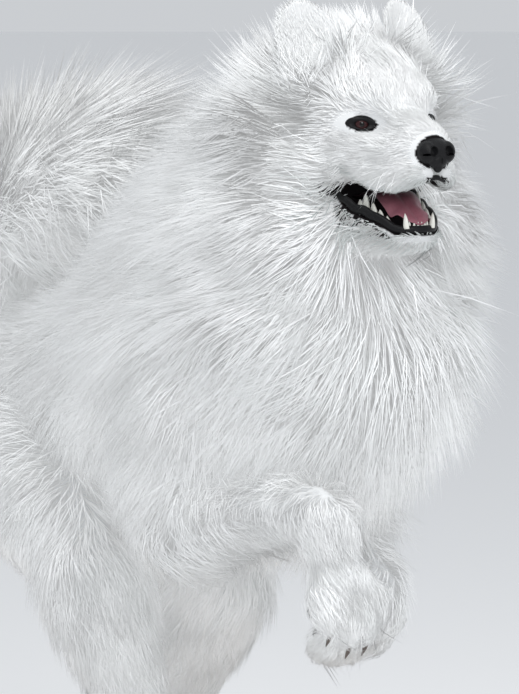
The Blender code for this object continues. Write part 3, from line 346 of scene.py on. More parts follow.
def coatGuides():
    head = mirrored([
        (onHead(0.085, 0, -0.020), onHead(0.030, 0, 0.004), 0.004, (-1, 0, 0.25), 14),
        (onHead(0.075, 0.022, -0.045), onHead(0.000, 0.040, -0.045), 0.005, (-1, 0.2, -0.2), 12),
        (onHead(0.010, 0.016, 0.018), onHead(0.000, 0.026, 0.028), 0.010, (-0.7, 0.1, 0.7), 25),
        (onHead(-0.012, 0.0, 0.044), onHead(-0.018, 0.028, 0.036), 0.026, (-0.5, 0.1, 0.85), 42),
        (onHead(-0.036, 0.0, 0.054), onHead(-0.060, 0.030, 0.050), 0.060, (-0.45, 0.15, 0.9), 66),
        (onHead(-0.075, 0.0, 0.050), onHead(-0.095, 0.030, 0.040), 0.070, (-0.45, 0.15, 0.9), 70),
        (onHead(-0.062, 0.060, 0.020), onHead(-0.090, 0.056, 0.035), 0.112, (-0.45, 0.75, 0.45), 76),
        (onHead(0.000, 0.042, -0.010), onHead(-0.020, 0.052, -0.020), 0.010, (-1, 0.3, -0.1), 15),
        (onHead(-0.026, 0.058, 0.000), onHead(-0.036, 0.056, -0.045), 0.022, (-0.8, 0.6, -0.15), 30),
        (onHead(-0.046, 0.064, 0.004), onHead(-0.054, 0.062, -0.050), 0.055, (-0.8, 0.5, -0.20), 38),
        (onHead(-0.066, 0.064, 0.010), onHead(-0.076, 0.062, -0.070), 0.132, (-0.35, 0.9, -0.20), 78),
        (onHead(0.045, 0.0, -0.126), onHead(0.000, 0.02, -0.120), 0.010, (-0.9, 0.1, -0.4), 20),
        (onHead(-0.040, 0.0, -0.115), onHead(-0.070, 0.03, -0.100), 0.045, (-0.5, 0.1, -0.8), 35),
    ])
    body = mirrored([
        (at(0.240, 0.0, 0.815), at(0.130, 0.0, 0.715), 0.090, (-0.85, 0, 0.25), 45),
        (at(0.295, 0.080, 0.700), at(0.285, 0.088, 0.600), 0.119, (-0.35, 0.75, -0.55), 77),
        (at(0.200, 0.085, 0.700), at(0.190, 0.095, 0.600), 0.095, (-0.80, 0.40, -0.40), 42),
        (at(0.335, 0.072, 0.560), at(0.325, 0.075, 0.500), 0.104, (-0.20, 0.60, -0.75), 54),
        (at(0.345, 0.0, 0.650), at(0.365, 0.0, 0.540), 0.112, (-0.15, 0, -1), 38),
        (at(0.340, 0.0, 0.490), at(0.275, 0.0, 0.420), 0.098, (-0.25, 0, -0.95), 36),
        (at(0.230, 0.080, 0.560), at(0.200, 0.090, 0.480), 0.065, (-0.45, 0.1, -0.85), 30),
        (onTrunk(0.300, 0.110), onTrunk(-0.040, 0.075), 0.050, (-0.95, 0, -0.05), 28),
        (onTrunk(0.260, 0.0, 0.095), onTrunk(0.060, 0.0, 0.080), 0.052, (-0.70, 0, -0.70), 28),
        (onTrunk(0.330, -0.140), onTrunk(0.150, -0.090), 0.045, (-0.55, 0, -0.80), 25),
        (onTrunk(0.080, -0.070), onTrunk(0.020, -0.070), 0.030, (-0.40, 0, -0.90), 20),
        (onTrunk(-0.090, -0.010, 0.040), onTrunk(-0.060, -0.080, 0.080), 0.046, (-0.55, 0.1, -0.85), 30),
    ])
    limbs = []
    for side, y in (("right", -1), ("left", 1)):
        j, k = foreleg[side], hindleg[side]
        arm, paw = unit(j["wrist"] - j["elbow"]), unit(j["toes"] - j["wrist"])
        back = unit(np.cross(arm, (0, 1, 0)))          # the side of the forearm that carries the feathering
        out = np.array([0, 0.02 * y, 0])
        limbs += [
            (j["shoulder"] + out, j["elbow"] + out, 0.042, unit((-0.35, 0, -0.95)), 25),
            (j["elbow"] - 0.020 * back, j["wrist"] - 0.015 * back, 0.013, arm, 12),
            (j["elbow"] + 0.040 * back, j["wrist"] * 0.35 + j["elbow"] * 0.65 + 0.036 * back, 0.056,
             unit((-0.45, 0, -0.9)), 40),
            (j["wrist"] * 0.7 + j["elbow"] * 0.3 + 0.024 * back, j["wrist"] + 0.016 * back, 0.026,
             unit((-0.45, 0, -0.9)), 35),
            (j["wrist"], j["toes"], 0.009, paw, 12),
            (k["hip"] + 2 * out, k["knee"] + out, 0.032, unit((-0.35, 0, -0.95)), 25),
            (k["knee"] + (0.035, 0.01 * y, 0), k["hock"] + (0.02, 0, 0.02), 0.018,
             unit(k["hock"] - k["knee"]), 14),
            (k["knee"] + (-0.075, 0, -0.02), k["hock"] + (-0.03, 0, 0.02), 0.026, unit((-0.4, 0, -0.9)), 26),
            (k["hock"], k["ball"], 0.010, unit(k["ball"] - k["hock"]), 12),
            (k["ball"], k["toes"], 0.007, unit(k["toes"] - k["ball"]), 12),
        ]
    return head + body + limbs


guides = coatGuides()
guideStart = np.array([g[0] for g in guides])
guideSpan = np.array([g[1] for g in guides]) - guideStart
guideDepth = np.array([g[2] for g in guides])
guideLie = np.array([g[3] for g in guides])
guideLift = np.array([g[4] for g in guides], float)


def bodyCoat(points):
    # depth, lie and lift at each point: the guides' own, weighted by distance to the power of -4
    rel = points[:, None, :] - guideStart
    share = np.clip((rel * guideSpan).sum(-1) / (guideSpan ** 2).sum(-1), 0, 1)
    off = np.linalg.norm(rel - share[..., None] * guideSpan, axis=-1)
    weight = 1 / (off + 0.012) ** 4
    weight /= weight.sum(1, keepdims=True)
    return weight @ guideDepth, unit(weight @ guideLie), weight @ guideLift


def tailBone(count):
    return spline([(*p, 0) for p in tail["bone"]], count)[:, :3]


def tailCoat(points):
    # the hair follows the bone and stands out from it, longest on the outer side of the curl
    bone = tailBone(60)
    ahead = unit(np.gradient(bone, axis=0))
    near = np.argmin(np.linalg.norm(points[:, None] - bone, axis=-1), axis=1)
    share = near / (len(bone) - 1)
    inner = np.einsum("ij,ij->i", unit(points - bone[near]), unit(bone[near] - tail["curl"]))
    depth = tail["coat"] * ramp(share, tail["full"]) * ramp(inner, tail["inside"])
    return depth, ahead[near], ramp(share, tail["lift"])


def earCoat(points):
    # short hair that lies up the ear, and the body's own below the top of the skull, which is
    # at 54 mm - 8.3 y^2
    own = inHead(points)
    side = np.sign(own[:, 1] + 1e-6)
    share = np.clip((own[:, 2] - 0.030) / 0.082, -0.3, 1)
    lie = np.stack([-0.25 + 0 * side, 0.25 * side, 1 + 0 * side], -1) @ headTurn.T
    depth = np.interp(share, [0, 0.3, 0.6, 1], [0.016, 0.009, 0.0045, 0.0035])
    coat, flow, lift = bodyCoat(points)
    onEar = smoothstep(0.004, 0.024, own[:, 2] - 0.054 + 8.3 * own[:, 1] ** 2)
    return (coat + (depth - coat) * onEar, unit(flow + (unit(lie) - flow) * onEar[:, None]),
            lift + (36 - lift) * onEar)


# The skin: the forms of the body under the coat, melted into one

trunk = {
    # along the spine, above it, half width, half height
    "rows": [(-0.085, 0.000, 0.045, 0.045), (-0.050, 0.002, 0.074, 0.068), (0.000, 0.006, 0.084, 0.080),
             (0.080, 0.008, 0.076, 0.082), (0.170, -0.002, 0.082, 0.093), (0.270, -0.012, 0.094, 0.112),
             (0.360, -0.018, 0.098, 0.126), (0.450, -0.018, 0.093, 0.117), (0.525, -0.022, 0.072, 0.086),
             (0.562, -0.026, 0.040, 0.048)],
    # forward, up, half width, half height
    "neck": [(0.160, 0.540, 0.090, 0.104), (0.222, 0.606, 0.092, 0.112), (0.262, 0.660, 0.086, 0.104),
             (0.284, 0.700, 0.073, 0.086), (0.298, 0.722, 0.057, 0.062), (0.310, 0.732, 0.036, 0.037)],
    "tail": (0.018, 0.016),
}


def trunkForms():
    return [tube([(*onTrunk(s, n), w, h) for s, n, w, h in trunk["rows"]], rings=50, sides=36),
            tube([(*at(x, 0, z), w, h) for x, z, w, h in trunk["neck"]], rings=30, sides=30),
            tube([(*p, *trunk["tail"]) for p in tailBone(12)], rings=40, sides=16)]


limbs = {
    # leg, the two joints of the bone, and rows: share of the bone, half width, half height
    "upperArm": (foreleg, "shoulder", "elbow",
                 [(-0.35, 0.022, 0.040), (0.0, 0.040, 0.056), (0.5, 0.038, 0.050), (1.0, 0.031, 0.036),
                  (1.12, 0.018, 0.020)]),
    "forearm": (foreleg, "elbow", "wrist",
                [(-0.14, 0.014, 0.016), (0.0, 0.030, 0.036), (0.35, 0.027, 0.030), (0.75, 0.020, 0.021),
                 (0.98, 0.021, 0.022), (1.06, 0.013, 0.014)]),
    "thigh": (hindleg, "hip", "knee",
              [(-0.20, 0.026, 0.046), (0.1, 0.046, 0.066), (0.5, 0.046, 0.056), (0.85, 0.040, 0.045),
               (1.05, 0.026, 0.030)]),
    "shank": (hindleg, "knee", "hock",
              [(-0.12, 0.020, 0.024), (0.05, 0.036, 0.044), (0.4, 0.031, 0.038), (0.75, 0.019, 0.024),
               (1.0, 0.017, 0.022), (1.08, 0.010, 0.012)]),
    "foot": (hindleg, "hock", "ball",
             [(-0.14, 0.010, 0.012), (0.0, 0.017, 0.021), (0.5, 0.016, 0.017), (0.8, 0.015, 0.015)]),
}
# how far the flesh of the thigh bulges forward and up from the bone at each of its rows
bulge = {"thigh": np.array([0.2, 0.8, 1.0, 0.6, 0.2])[:, None] * (0.004, 0, 0.012)}


def limbForms():
    forms = []
    for side in ("right", "left"):
        for name, (leg, upper, lower, rows) in limbs.items():
            start, span = leg[side][upper], leg[side][lower] - leg[side][upper]
            pushed = bulge.get(name, np.zeros((len(rows), 3)))
            forms.append(tube([(*(start + span * s + push), w, h) for (s, w, h), push in zip(rows, pushed)]))
    return forms


skull = {
    # forward, top, bottom, half width
    "rows": [(-0.135, 0.015, -0.045, 0.030), (-0.115, 0.038, -0.060, 0.048), (-0.080, 0.054, -0.070, 0.060),
             (-0.045, 0.056, -0.064, 0.062), (-0.015, 0.046, -0.055, 0.055), (0.004, 0.027, -0.051, 0.045),
             (0.019, 0.012, -0.050, 0.037), (0.037, 0.002, -0.050, 0.031), (0.050, -0.0045, -0.050, 0.0265),
             (0.058, -0.0115, -0.049, 0.0215), (0.064, -0.020, -0.046, 0.0155),
             (0.067, -0.026, -0.043, 0.0095)],
    "pinch": 0.10,
    # middle and radii of the forms on each side
    "cheek": ((-0.070, 0.044, -0.042), (0.040, 0.036, 0.044)),
    "brow": ((-0.002, 0.027, 0.018), (0.020, 0.015, 0.012)),
    "jowl": ((-0.082, 0.040, -0.078), (0.042, 0.038, 0.036)),
    "throat": ((-0.070, 0, -0.080), (0.042, 0.044, 0.034)),
    # forward, out and up of the two rolls of the upper lip: its edge, and one further in
    "lip": [(0.0655, 0.0050, -0.0475), (0.0625, 0.0130, -0.0490), (0.0550, 0.0195, -0.0515),
            (0.0450, 0.0245, -0.0537), (0.0310, 0.0285, -0.0535), (0.0170, 0.0320, -0.0508),
            (0.0018, 0.0350, -0.0440), (-0.0140, 0.0375, -0.0400), (-0.0240, 0.0390, -0.0395),
            (-0.0340, 0.0400, -0.0470)],
    "rolls": [((0, 0, 0), (0.0060, 0.0065)), ((-0.004, -0.001, 0.0095), (0.0078, 0.0080))],
}


def headForms():
    rows = [(*onHead(f, 0, (top + low) / 2), wide, (top - low) / 2) for f, top, low, wide in skull["rows"]]
    forms = [tube(rows, rings=50, sides=40, pinch=skull["pinch"])]
    last = len(skull["lip"]) - 1
    taper = np.interp(np.arange(last + 1), [0, 1, last - 2, last], [0.9, 1.0, 1.0, 0.5])
    for y in (-1, 1):
        for name in ("cheek", "brow", "jowl"):
            (f, w, u), radii = skull[name]
            forms.append(ball(onHead(f, w * y, u), radii, headTurn))
        for (df, dw, du), (wide, high) in skull["rolls"]:
            forms.append(tube([(*onHead(f + df, (w + dw) * y, u + du), wide * t, high * t)
                               for (f, w, u), t in zip(skull["lip"], taper)], rings=40, sides=12))
    throat, radii = skull["throat"]
    forms.append(ball(onHead(*throat), radii, headTurn))
    return forms


jaw = {
    "rows": [(-0.095, -0.072, 0.042, 0.028), (-0.062, -0.084, 0.042, 0.025), (-0.030, -0.094, 0.037, 0.018),
             (0.000, -0.100, 0.031, 0.0125), (0.018, -0.1040, 0.0255, 0.0090),
             (0.031, -0.1055, 0.0190, 0.0058), (0.0375, -0.1058, 0.0120, 0.0040)],
    # the edge of the fur below the lower lip, from the chin to the corner: forward, out, up
    "rim": [(0.0400, 0.000, -0.1015), (0.0388, 0.010, -0.1012), (0.0345, 0.0185, -0.1008),
            (0.0290, 0.0245, -0.0990), (0.0245, 0.0280, -0.0945), (0.0167, 0.0310, -0.0903),
            (0.0072, 0.0340, -0.0866), (-0.0020, 0.0365, -0.0831), (-0.0113, 0.0385, -0.0790),
            (-0.0224, 0.0408, -0.0723), (-0.0318, 0.0415, -0.0635)],
}


def jawForms():
    forms = [tube([(*onHead(f, 0, u), w, h) for f, u, w, h in jaw["rows"]], rings=40, sides=28)]
    for y in (-1, 1):
        forms.append(tube([(*onHead(f - 0.001, (w - 0.001) * y, u - 0.0042), 0.0034, 0.0042)
                           for f, w, u in jaw["rim"]], rings=50, sides=10))
    return forms


mouth = {
    # forward, upper edge and lower edge of the opening, from the front to its corner
    "opening": [(0.120, -0.0560, -0.0985), (0.0560, -0.0575, -0.0985), (0.0400, -0.0600, -0.0985),
                (0.0300, -0.0600, -0.0965), (0.0254, -0.0595, -0.0925), (0.0167, -0.0575, -0.0890),
                (0.0072, -0.0530, -0.0855), (-0.0020, -0.0500, -0.0820), (-0.0113, -0.0475, -0.0780),
                (-0.0224, -0.0465, -0.0713), (-0.0310, -0.0530, -0.0630)],
    "cut": 0.07,                        # half width of the cut across the head
    # forward, up, half width and half height of the hollows above and below the tongue
    "palate": [(0.054, -0.054, 0.012, 0.0045), (0.034, -0.054, 0.019, 0.007), (0.008, -0.054, 0.024, 0.008),
               (-0.030, -0.058, 0.029, 0.011), (-0.065, -0.064, 0.022, 0.010)],
    "floor": [(0.033, -0.0965, 0.012, 0.0045), (0.018, -0.0890, 0.018, 0.009),
              (-0.003, -0.0810, 0.024, 0.012), (-0.030, -0.071, 0.029, 0.013),
              (-0.065, -0.070, 0.022, 0.012)],
    # by the place forward: height of the floor, and half width inside the lips below and above the middle
    "low": [(-0.065, -0.084), (-0.03, -0.086), (0, -0.0945), (0.018, -0.0995), (0.033, -0.1025),
            (0.040, -0.1025)],
    "wideLow": [(-0.065, 0.028), (-0.0318, 0.0385), (-0.0224, 0.038), (-0.0113, 0.0355), (-0.002, 0.0335),
                (0.0072, 0.031), (0.0167, 0.028), (0.0254, 0.024), (0.033, 0.017), (0.038, 0.009),
                (0.039, -0.01)],
    "wideHigh": [(-0.065, 0.028), (-0.034, 0.0375), (-0.014, 0.037), (0.002, 0.0345), (0.017, 0.0315),
                 (0.031, 0.028), (0.045, 0.023), (0.055, 0.017), (0.060, 0.010)],
    "wideRim": [(-0.035, 0.0415), (0, 0.036), (0.025, 0.028), (0.035, 0.0185), (0.0388, 0.010)],
    "middle": -0.075,
}


def mouthCutters():
    hollows = [tube([(*onHead(f, 0, u), w, h) for f, u, w, h in mouth[name]], rings=20, sides=20)
               for name in ("palate", "floor")]
    points, far = [], mouth["cut"]
    for f, top, low in mouth["opening"]:
        points += [onHead(f, -far, low), onHead(f, far, low), onHead(f, far, top), onHead(f, -far, top)]
    last, faces = len(mouth["opening"]) - 1, []
    for i in range(last):
        faces += [(4 * i + j, 4 * i + (j + 1) % 4, 4 * i + 4 + (j + 1) % 4, 4 * i + 4 + j) for j in range(4)]
    faces += [(0, 1, 2, 3), (4 * last + 3, 4 * last + 2, 4 * last + 1, 4 * last)]
    return [outward(meshObject("wedge", points, faces)), *hollows]


eye = {
    "at": (-0.0030, 0.0330, -0.0010), "turn": 24, "radius": 0.0100,    # metres in the head's frame, degrees
    # half sizes of the black skin round the lids; then half width, upper and lower half height of the
    # opening and of the outer edge of the lids
    "black": (0.0142, 0.0066), "slit": (0.0063, 0.0033, 0.0038), "dark": (0.0150, 0.0082, 0.0056),
    "thick": 0.0014, "cornea": 0.0007,                                 # metres
    "iris": 0.66, "pupil": (0.19, 0.25),                               # angles from the gaze, radians
    "dish": (0.022, 0.017), "bottom": 0.0078, "depth": 0.020,          # the hollow round it, metres
    "grid": (44, 48), "lidSides": 72,
}


def eyeFrame(y):
    # centre of the eye, and its axes as columns: out along the gaze, to its outer corner, up
    turn = math.radians(eye["turn"])
    gaze = unit(turned((math.cos(turn), math.sin(turn) * y, -0.06)))
    corner = unit(turned((-math.sin(turn), math.cos(turn) * y, 0.10)))
    corner = unit(corner - gaze * (gaze @ corner))
    centre = onHead(eye["at"][0], eye["at"][1] * y, eye["at"][2])
    return centre, np.array([gaze, corner, np.cross(gaze, corner) * y]).T


def orbits(points):
    # round each eye the skin is pressed back to the eyeball: out = min(out, dish), which rises with distance
    for y in (-1, 1):
        centre, axes = eyeFrame(y)
        local = (points - centre) @ axes
        wide, high = eye["dish"]
        far = np.sqrt((local[:, 1] / wide) ** 2 + ((local[:, 2] - 0.001) / high) ** 2)
        dish = eye["bottom"] + eye["depth"] * smoothstep(0.25, 1.6, far)
        deep = np.maximum(local[:, 0] - dish, 0) * (far < 1.6)
        points = points - axes[:, 0] * deep[:, None]
    return points


ear = {
    "base": (-0.058, 0.050, 0.030), "tip": (-0.064, 0.054, 0.112), "width": 0.066,    # metres, head's frame
    "turn": 18, "rings": 30, "sides": 24,                                             # degrees, counts
}


def earForm(y):
    # rings up the ear, each an ellipse bent back in its middle into a cup
    rings, sides = ear["rings"], ear["sides"]
    up = np.linspace(0, 1, rings)
    base, tip = np.array(ear["base"]), np.array(ear["tip"])
    middle = base + (tip - base) * up[:, None]
    middle[:, 0] += 0.010 * np.sin(math.pi * up)
    wide = ear["width"] / 2 * np.interp(up, [0, 0.25, 0.5, 0.75, 0.9, 1.0],
                                        [0.92, 1.0, 0.98, 0.84, 0.62, 0.20])
    thick = np.interp(up, [0, 0.5, 1.0], [0.0060, 0.0040, 0.0018])
    cup = 0.016 * np.interp(up, [0, 0.6, 1.0], [1.0, 0.6, 0.05])
    turn = circle(sides)
    across = wide[:, None] * np.cos(turn)
    over = thick[:, None] * np.sin(turn) - cup[:, None] * (1 - np.cos(turn) ** 2) + cup[:, None] * 0.5
    face = math.radians(ear["turn"])
    f = middle[:, :1] + over * math.cos(face) - across * math.sin(face)
    s = middle[:, 1:2] + over * math.sin(face) + across * math.cos(face)
    grid = np.stack([f, s * y, middle[:, 2:] + 0 * f], -1).reshape(-1, 3)
    ends = np.array([middle[0] * (1, y, 1) - (0, 0, 0.004), middle[-1] * (1, y, 1) + (0, 0, 0.001)])
    points = outOfHead(np.concatenate([grid, ends]))
    return outward(meshObject("ear", points, ringFaces(rings, sides)))


def pawFrame(knuckles, toes, dorsal):
    ahead = unit(toes - knuckles)
    side = unit(np.cross(dorsal, ahead))
    return np.array([ahead, side, np.cross(ahead, side)]).T


def paws():
    # name, root, knuckles, axes and half width of each foot at its root
    rows = []
    for side in ("right", "left"):
        j, k = foreleg[side], hindleg[side]
        knuckles = j["wrist"] + (j["toes"] - j["wrist"]) * 0.56
        rows.append(("forepaw_" + side, j["wrist"], knuckles,
                     pawFrame(knuckles, j["toes"], np.cross(j["toes"] - j["wrist"], (0, 1, 0))), 0.020))
        rows.append(("hindpaw_" + side, k["hock"] * 0.35 + k["ball"] * 0.65, k["ball"],
                     pawFrame(k["ball"], k["toes"], (0, 0, 1)), 0.016))
    return rows


# out and forward of the knuckles
toes = ((-0.0270, -0.006), (-0.0095, 0.008), (0.0095, 0.008), (0.0270, -0.006))


def pawForms(root, knuckles, axes, ankle):
    def place(f, s, u):
        return knuckles + axes @ np.array([f, s, u])

    middle = (root + knuckles) / 2
    forms = [tube([(*(root * 1.15 - middle * 0.15), 0.012, 0.012), (*root, ankle, ankle),
                   (*middle, 0.021, 0.018), (*knuckles, 0.029, 0.017), (*place(0.020, 0, 0), 0.021, 0.011)])]
    for s, f in toes:
        forms.append(ball(place(0.016 + f, s, 0.002), (0.023, 0.0120, 0.0138), axes))
    return forms


def buildSkin():
    body = melted("skin", trunkForms() + limbForms(), 0.005, 6)
    head = melted("head", headForms() + jawForms(), 0.0021, 3)
    for void in mouthCutters():
        combined(head, [void], "DIFFERENCE")
    moved(head, orbits(coordinates(head)))
    others = [head, earForm(-1), earForm(1)]
    for name, root, knuckles, axes, ankle in paws():
        others.append(melted(name, pawForms(root, knuckles, axes, ankle), 0.0026, 3))
    combined(body, others, "UNION")
    body.name = "skin"
    return shadedSmooth(body)


skin = buildSkin()
print("skin", len(skin.data.vertices), "points")

# Where each part of the skin is unwrapped: along its line, and round it, into a cell of its own

zones = {
    "head": ([onHead(-0.100, 0, -0.050), onHead(0.080, 0, -0.040)], 0.055),
    "neck": ([at(0.185, 0, 0.560), at(0.300, 0, 0.720)], 0.100),
    "trunk": ([onTrunk(-0.085, 0), onTrunk(0.540, -0.015)], 0.090),
    "tail": (tail["bone"], 0.018),
    "forelegRight": ([foreleg["right"][n] for n in ("shoulder", "elbow", "wrist", "toes")], 0.030),
    "forelegLeft": ([foreleg["left"][n] for n in ("shoulder", "elbow", "wrist", "toes")], 0.030),
    "hindlegRight": ([hindleg["right"][n] for n in ("hip", "knee", "hock", "ball", "toes")], 0.036),
    "hindlegLeft": ([hindleg["left"][n] for n in ("hip", "knee", "hock", "ball", "toes")], 0.036),
    "earRight": ([onHead(*(np.array(ear[n]) * flip)) for n in ("base", "tip")], 0.032),
    "earLeft": ([onHead(*ear[n]) for n in ("base", "tip")], 0.032),
}
zoneNames = list(zones)


def unwrapped(points):
    # zone of each point, and its place in a 4 by 3 grid: share along the zone's line, and turn round it
    best = np.full(len(points), np.inf)
    zone, along, around = np.zeros(len(points), int), np.zeros(len(points)), np.zeros(len(points))
    for index, (line, size) in enumerate(zones.values()):
        line = np.array(line)
        lengths = np.linalg.norm(np.diff(line, axis=0), axis=1)
        before = np.r_[0, np.cumsum(lengths)]
        for i, (start, end) in enumerate(zip(line[:-1], line[1:])):
            span = end - start
            share = np.clip((points - start) @ span / (span @ span), 0, 1)
            off = points - start - share[:, None] * span
            far = np.linalg.norm(off, axis=1) / size
            nearer = far < best
            side = unit(np.cross(span, (0, 0, 1) if abs(unit(span)[2]) < 0.8 else (1, 0, 0)))
            top = unit(np.cross(side, span))
            turn = np.arctan2(off @ side, off @ top) / (2 * math.pi) + 0.5
            best[nearer], zone[nearer] = far[nearer], index
            along[nearer] = (before[i] + share[nearer] * lengths[i]) / before[-1]
            around[nearer] = turn[nearer]
    cell = np.stack([zone % 4, zone // 4], -1)
    place = (cell + 0.02 + 0.95 * np.stack([along, around], -1)) / (4, 3)
    return zone, place


# Places that the coat leaves bare

def lineDistance(points, line):
    line = np.asarray(line, float)
    best = np.full(len(points), np.inf)
    for start, end in zip(line[:-1], line[1:]):
        span = end - start
        share = np.clip((points - start) @ span / (span @ span), 0, 1)
        best = np.minimum(best, np.linalg.norm(points - start - share[:, None] * span, axis=1))
    return best


def mouthInside(points, grow=0.0):
    # 1 in the open mouth: between its floor and palate, and inside the lips
    f, l, u = inHead(points).T
    wide = np.where(u > mouth["middle"], ramp(f, mouth["wideHigh"]), ramp(f, mouth["wideLow"]))
    low = ramp(f, mouth["low"])
    return (f > -0.09) & (f < 0.0610) & (np.abs(l) < wide + grow) & (u < -0.044) & (u > low - grow)


def mouthWall(points, grow=0.0):
    # 1 on the walls at the corners of the mouth
    f, l, u = inHead(points).T
    top, low = (ramp(f, [(row[0], row[i]) for row in mouth["opening"]]) for i in (1, 2))
    return (f > -0.037) & (f < 0.020) & (np.abs(l) < 0.066) & (u < top + grow) & (u > low - grow)


# the edge of the fur above the upper lip, from the nose to the corner, in the head's frame
lipLine = [(0.0700, 0.000, -0.0500), (0.0680, 0.007, -0.0540), (0.0640, 0.0135, -0.0560),
           (0.0555, 0.0205, -0.0582), (0.0461, 0.0262, -0.0602), (0.0316, 0.0308, -0.0600),
           (0.0172, 0.0345, -0.0573), (0.0018, 0.0375, -0.0540), (-0.0137, 0.0398, -0.0524),
           (-0.0236, 0.0410, -0.0533), (-0.0330, 0.0416, -0.0600)]


def lipDistance(points, line):
    return lineDistance(np.abs(inHead(points)) * (0, 1, 0) + inHead(points) * (1, 0, 1), line)


def lipShade(points):
    # how far the hair and the skin beside the lips are darkened: partly darker hair of their own, partly
    # painted shade below the muzzle and the chin
    upper = 0.70 * (1 - smoothstep(0.001, 0.016, lipDistance(points, lipLine)))
    return upper + 0.80 * (1 - smoothstep(0.001, 0.013, lipDistance(points, jaw["rim"])))


def eyeDistance(points):
    # 1 at the outer edge of the black round each eye
    best = np.full(len(points), np.inf)
    for y in (-1, 1):
        centre, axes = eyeFrame(y)
        local = (points - centre) @ axes
        far = np.sqrt((local[:, 1] / eye["black"][0]) ** 2 + (local[:, 2] / eye["black"][1]) ** 2)
        best = np.minimum(best, np.where(np.abs(local[:, 0] - 0.008) < 0.02, far, np.inf))
    return best


nose = {
    # middle and radii in the head's frame: the space that it takes, its forms and its hollows
    "space": ((0.0645, 0, -0.0300), (0.0160, 0.0188, 0.0158)),
    "pad": [((0.0620, 0, -0.0285), (0.0150, 0.0180, 0.0128)),
            ((0.0675, 0, -0.0365), (0.0090, 0.0115, 0.0080)),
            ((0.0690, 0, -0.0425), (0.0045, 0.0045, 0.0055))],
    "wing": ((0.0670, 0.0102, -0.0295), (0.0105, 0.0084, 0.0105)),
    "nostril": [((0.0775, 0.0080, -0.0288), (0.0075, 0.0044, 0.0050)),
                ((0.0745, 0.0140, -0.0318), (0.0050, 0.0050, 0.0013))],
    "groove": ((0.0790, 0, -0.0390), (0.0040, 0.0008, 0.0090)),
}


def noseDistance(points):
    middle, radii = nose["space"]
    return np.linalg.norm((inHead(points) - middle) / radii, axis=1)


def furry(points, normals):
    # share of its full length that the coat has at each point
    rim = lipDistance(points, jaw["rim"])
    lip = lipDistance(points, lipLine)
    share = smoothstep(1.1, 3.6, eyeDistance(points)) * smoothstep(0.98, 1.22, noseDistance(points))
    share = share * smoothstep(0.0012, 0.0058, rim) * smoothstep(0.0000, 0.0040, lip)
    share = np.where(mouthInside(points, 0.001) | mouthWall(points, 0.0005), 0, share)
    for _, _, knuckles, axes, _ in paws():
        local = (points - knuckles) @ axes
        near = np.linalg.norm(points - knuckles, axis=1) < 0.05
        sole = near & (local[:, 2] < -0.004) & (normals @ axes[:, 2] < -0.55)
        share = np.where(sole, 0.25, share)
    x, radius, top = pose["rod"]
    rod = np.hypot(points[:, 0] - x, points[:, 1])
    return np.where((rod < radius) & (points[:, 2] < top), 0, share)


def inMouth(points):
    # 1 inside the mouth and on the walls at its corners
    f, l, u = inHead(points).T
    wide = ramp(f, mouth["wideRim"])
    within = (np.abs(l) < wide - 0.004) & (f > -0.080) & (f < 0.050) & (u > -0.1005) & (u < -0.030)
    return mouthInside(points, 0.0045) | mouthWall(points, 0.0008) | within


def bareSkin(points):
    # the black skin on the lips, round the eyes and the nose, and black painted shade inside the mouth
    rim = lipDistance(points, jaw["rim"])
    lip = lipDistance(points, lipLine)
    f, l, u = inHead(points).T
    notch = (f > 0.050) & (f < 0.0685) & (np.abs(l) < 0.012) & (u < -0.0515) & (u > -0.070)
    ringed = (eyeDistance(points) < 1.0) | (noseDistance(points) < 1.01)
    return inMouth(points) | (rim < 0.0024) | (lip < 0.0016) | ringed | notch


# Tufts

fur = {
    # by depth of the coat: width and number of tufts to the square centimetre
    "depth": [0.003, 0.010, 0.025, 0.050, 0.110], "width": [0.0005, 0.0007, 0.0010, 0.0012, 0.0013],
    "crowd": [52, 32, 20, 15, 15], "longest": 0.120,
    "jitter": 10, "flow": 9, "swirl": 11, "gentlest": 12,        # degrees
    "reach": (0.74, 1.0), "rise": 1.5, "clump": 0.12, "flat": 0.30, "stray": 0.03, "seed": 11,
    "shape": [0.6, 1.0, 0.1],           # share of its width at the root, the middle and near the tip
    "tilt": (0.22, 0.09), "round": 0.08,           # unevenness of the light on it, and how round it looks
    "tone": (0.92, 0.03, 0.07),         # middle, spread from tuft to tuft, painted shade in soft patches over the body
    "most": 19500,                      # tufts in one piece
    # painted light: a glow for the light that white hairs pass on to one another, which the few bounces leave
    # out; the skin glows as much
    "glow": 0.33,
}
stations = np.array([0.0, 0.22, 0.45, 0.72, 1.0])          # of which every second one is kept
coatPieces = {
    # zones, field, and how much denser or thinner than the table above
    "coatFace": (("head",), bodyCoat, 1.5), "coatEars": (("earRight", "earLeft"), earCoat, 1.0),
    "coatRuff": (("neck",), bodyCoat, 1.32), "coatTrunk": (("trunk",), bodyCoat, 0.67),
    "coatTail": (("tail",), tailCoat, 3.2), "coatForelegs": (("forelegRight", "forelegLeft"), bodyCoat, 0.72),
    "coatHindlegs": (("hindlegRight", "hindlegLeft"), bodyCoat, 0.58),
}


def skinTable(obj):
    # corners and corner normals of the skin's triangles
    mesh = obj.data
    mesh.calc_loop_triangles()
    corner = np.empty(len(mesh.loop_triangles) * 3, int)
    mesh.loop_triangles.foreach_get("vertices", corner)
    normals = np.empty(len(mesh.vertices) * 3)
    mesh.vertices.foreach_get("normal", normals)
    corner = corner.reshape(-1, 3)
    return coordinates(obj)[corner], normals.reshape(-1, 3)[corner]


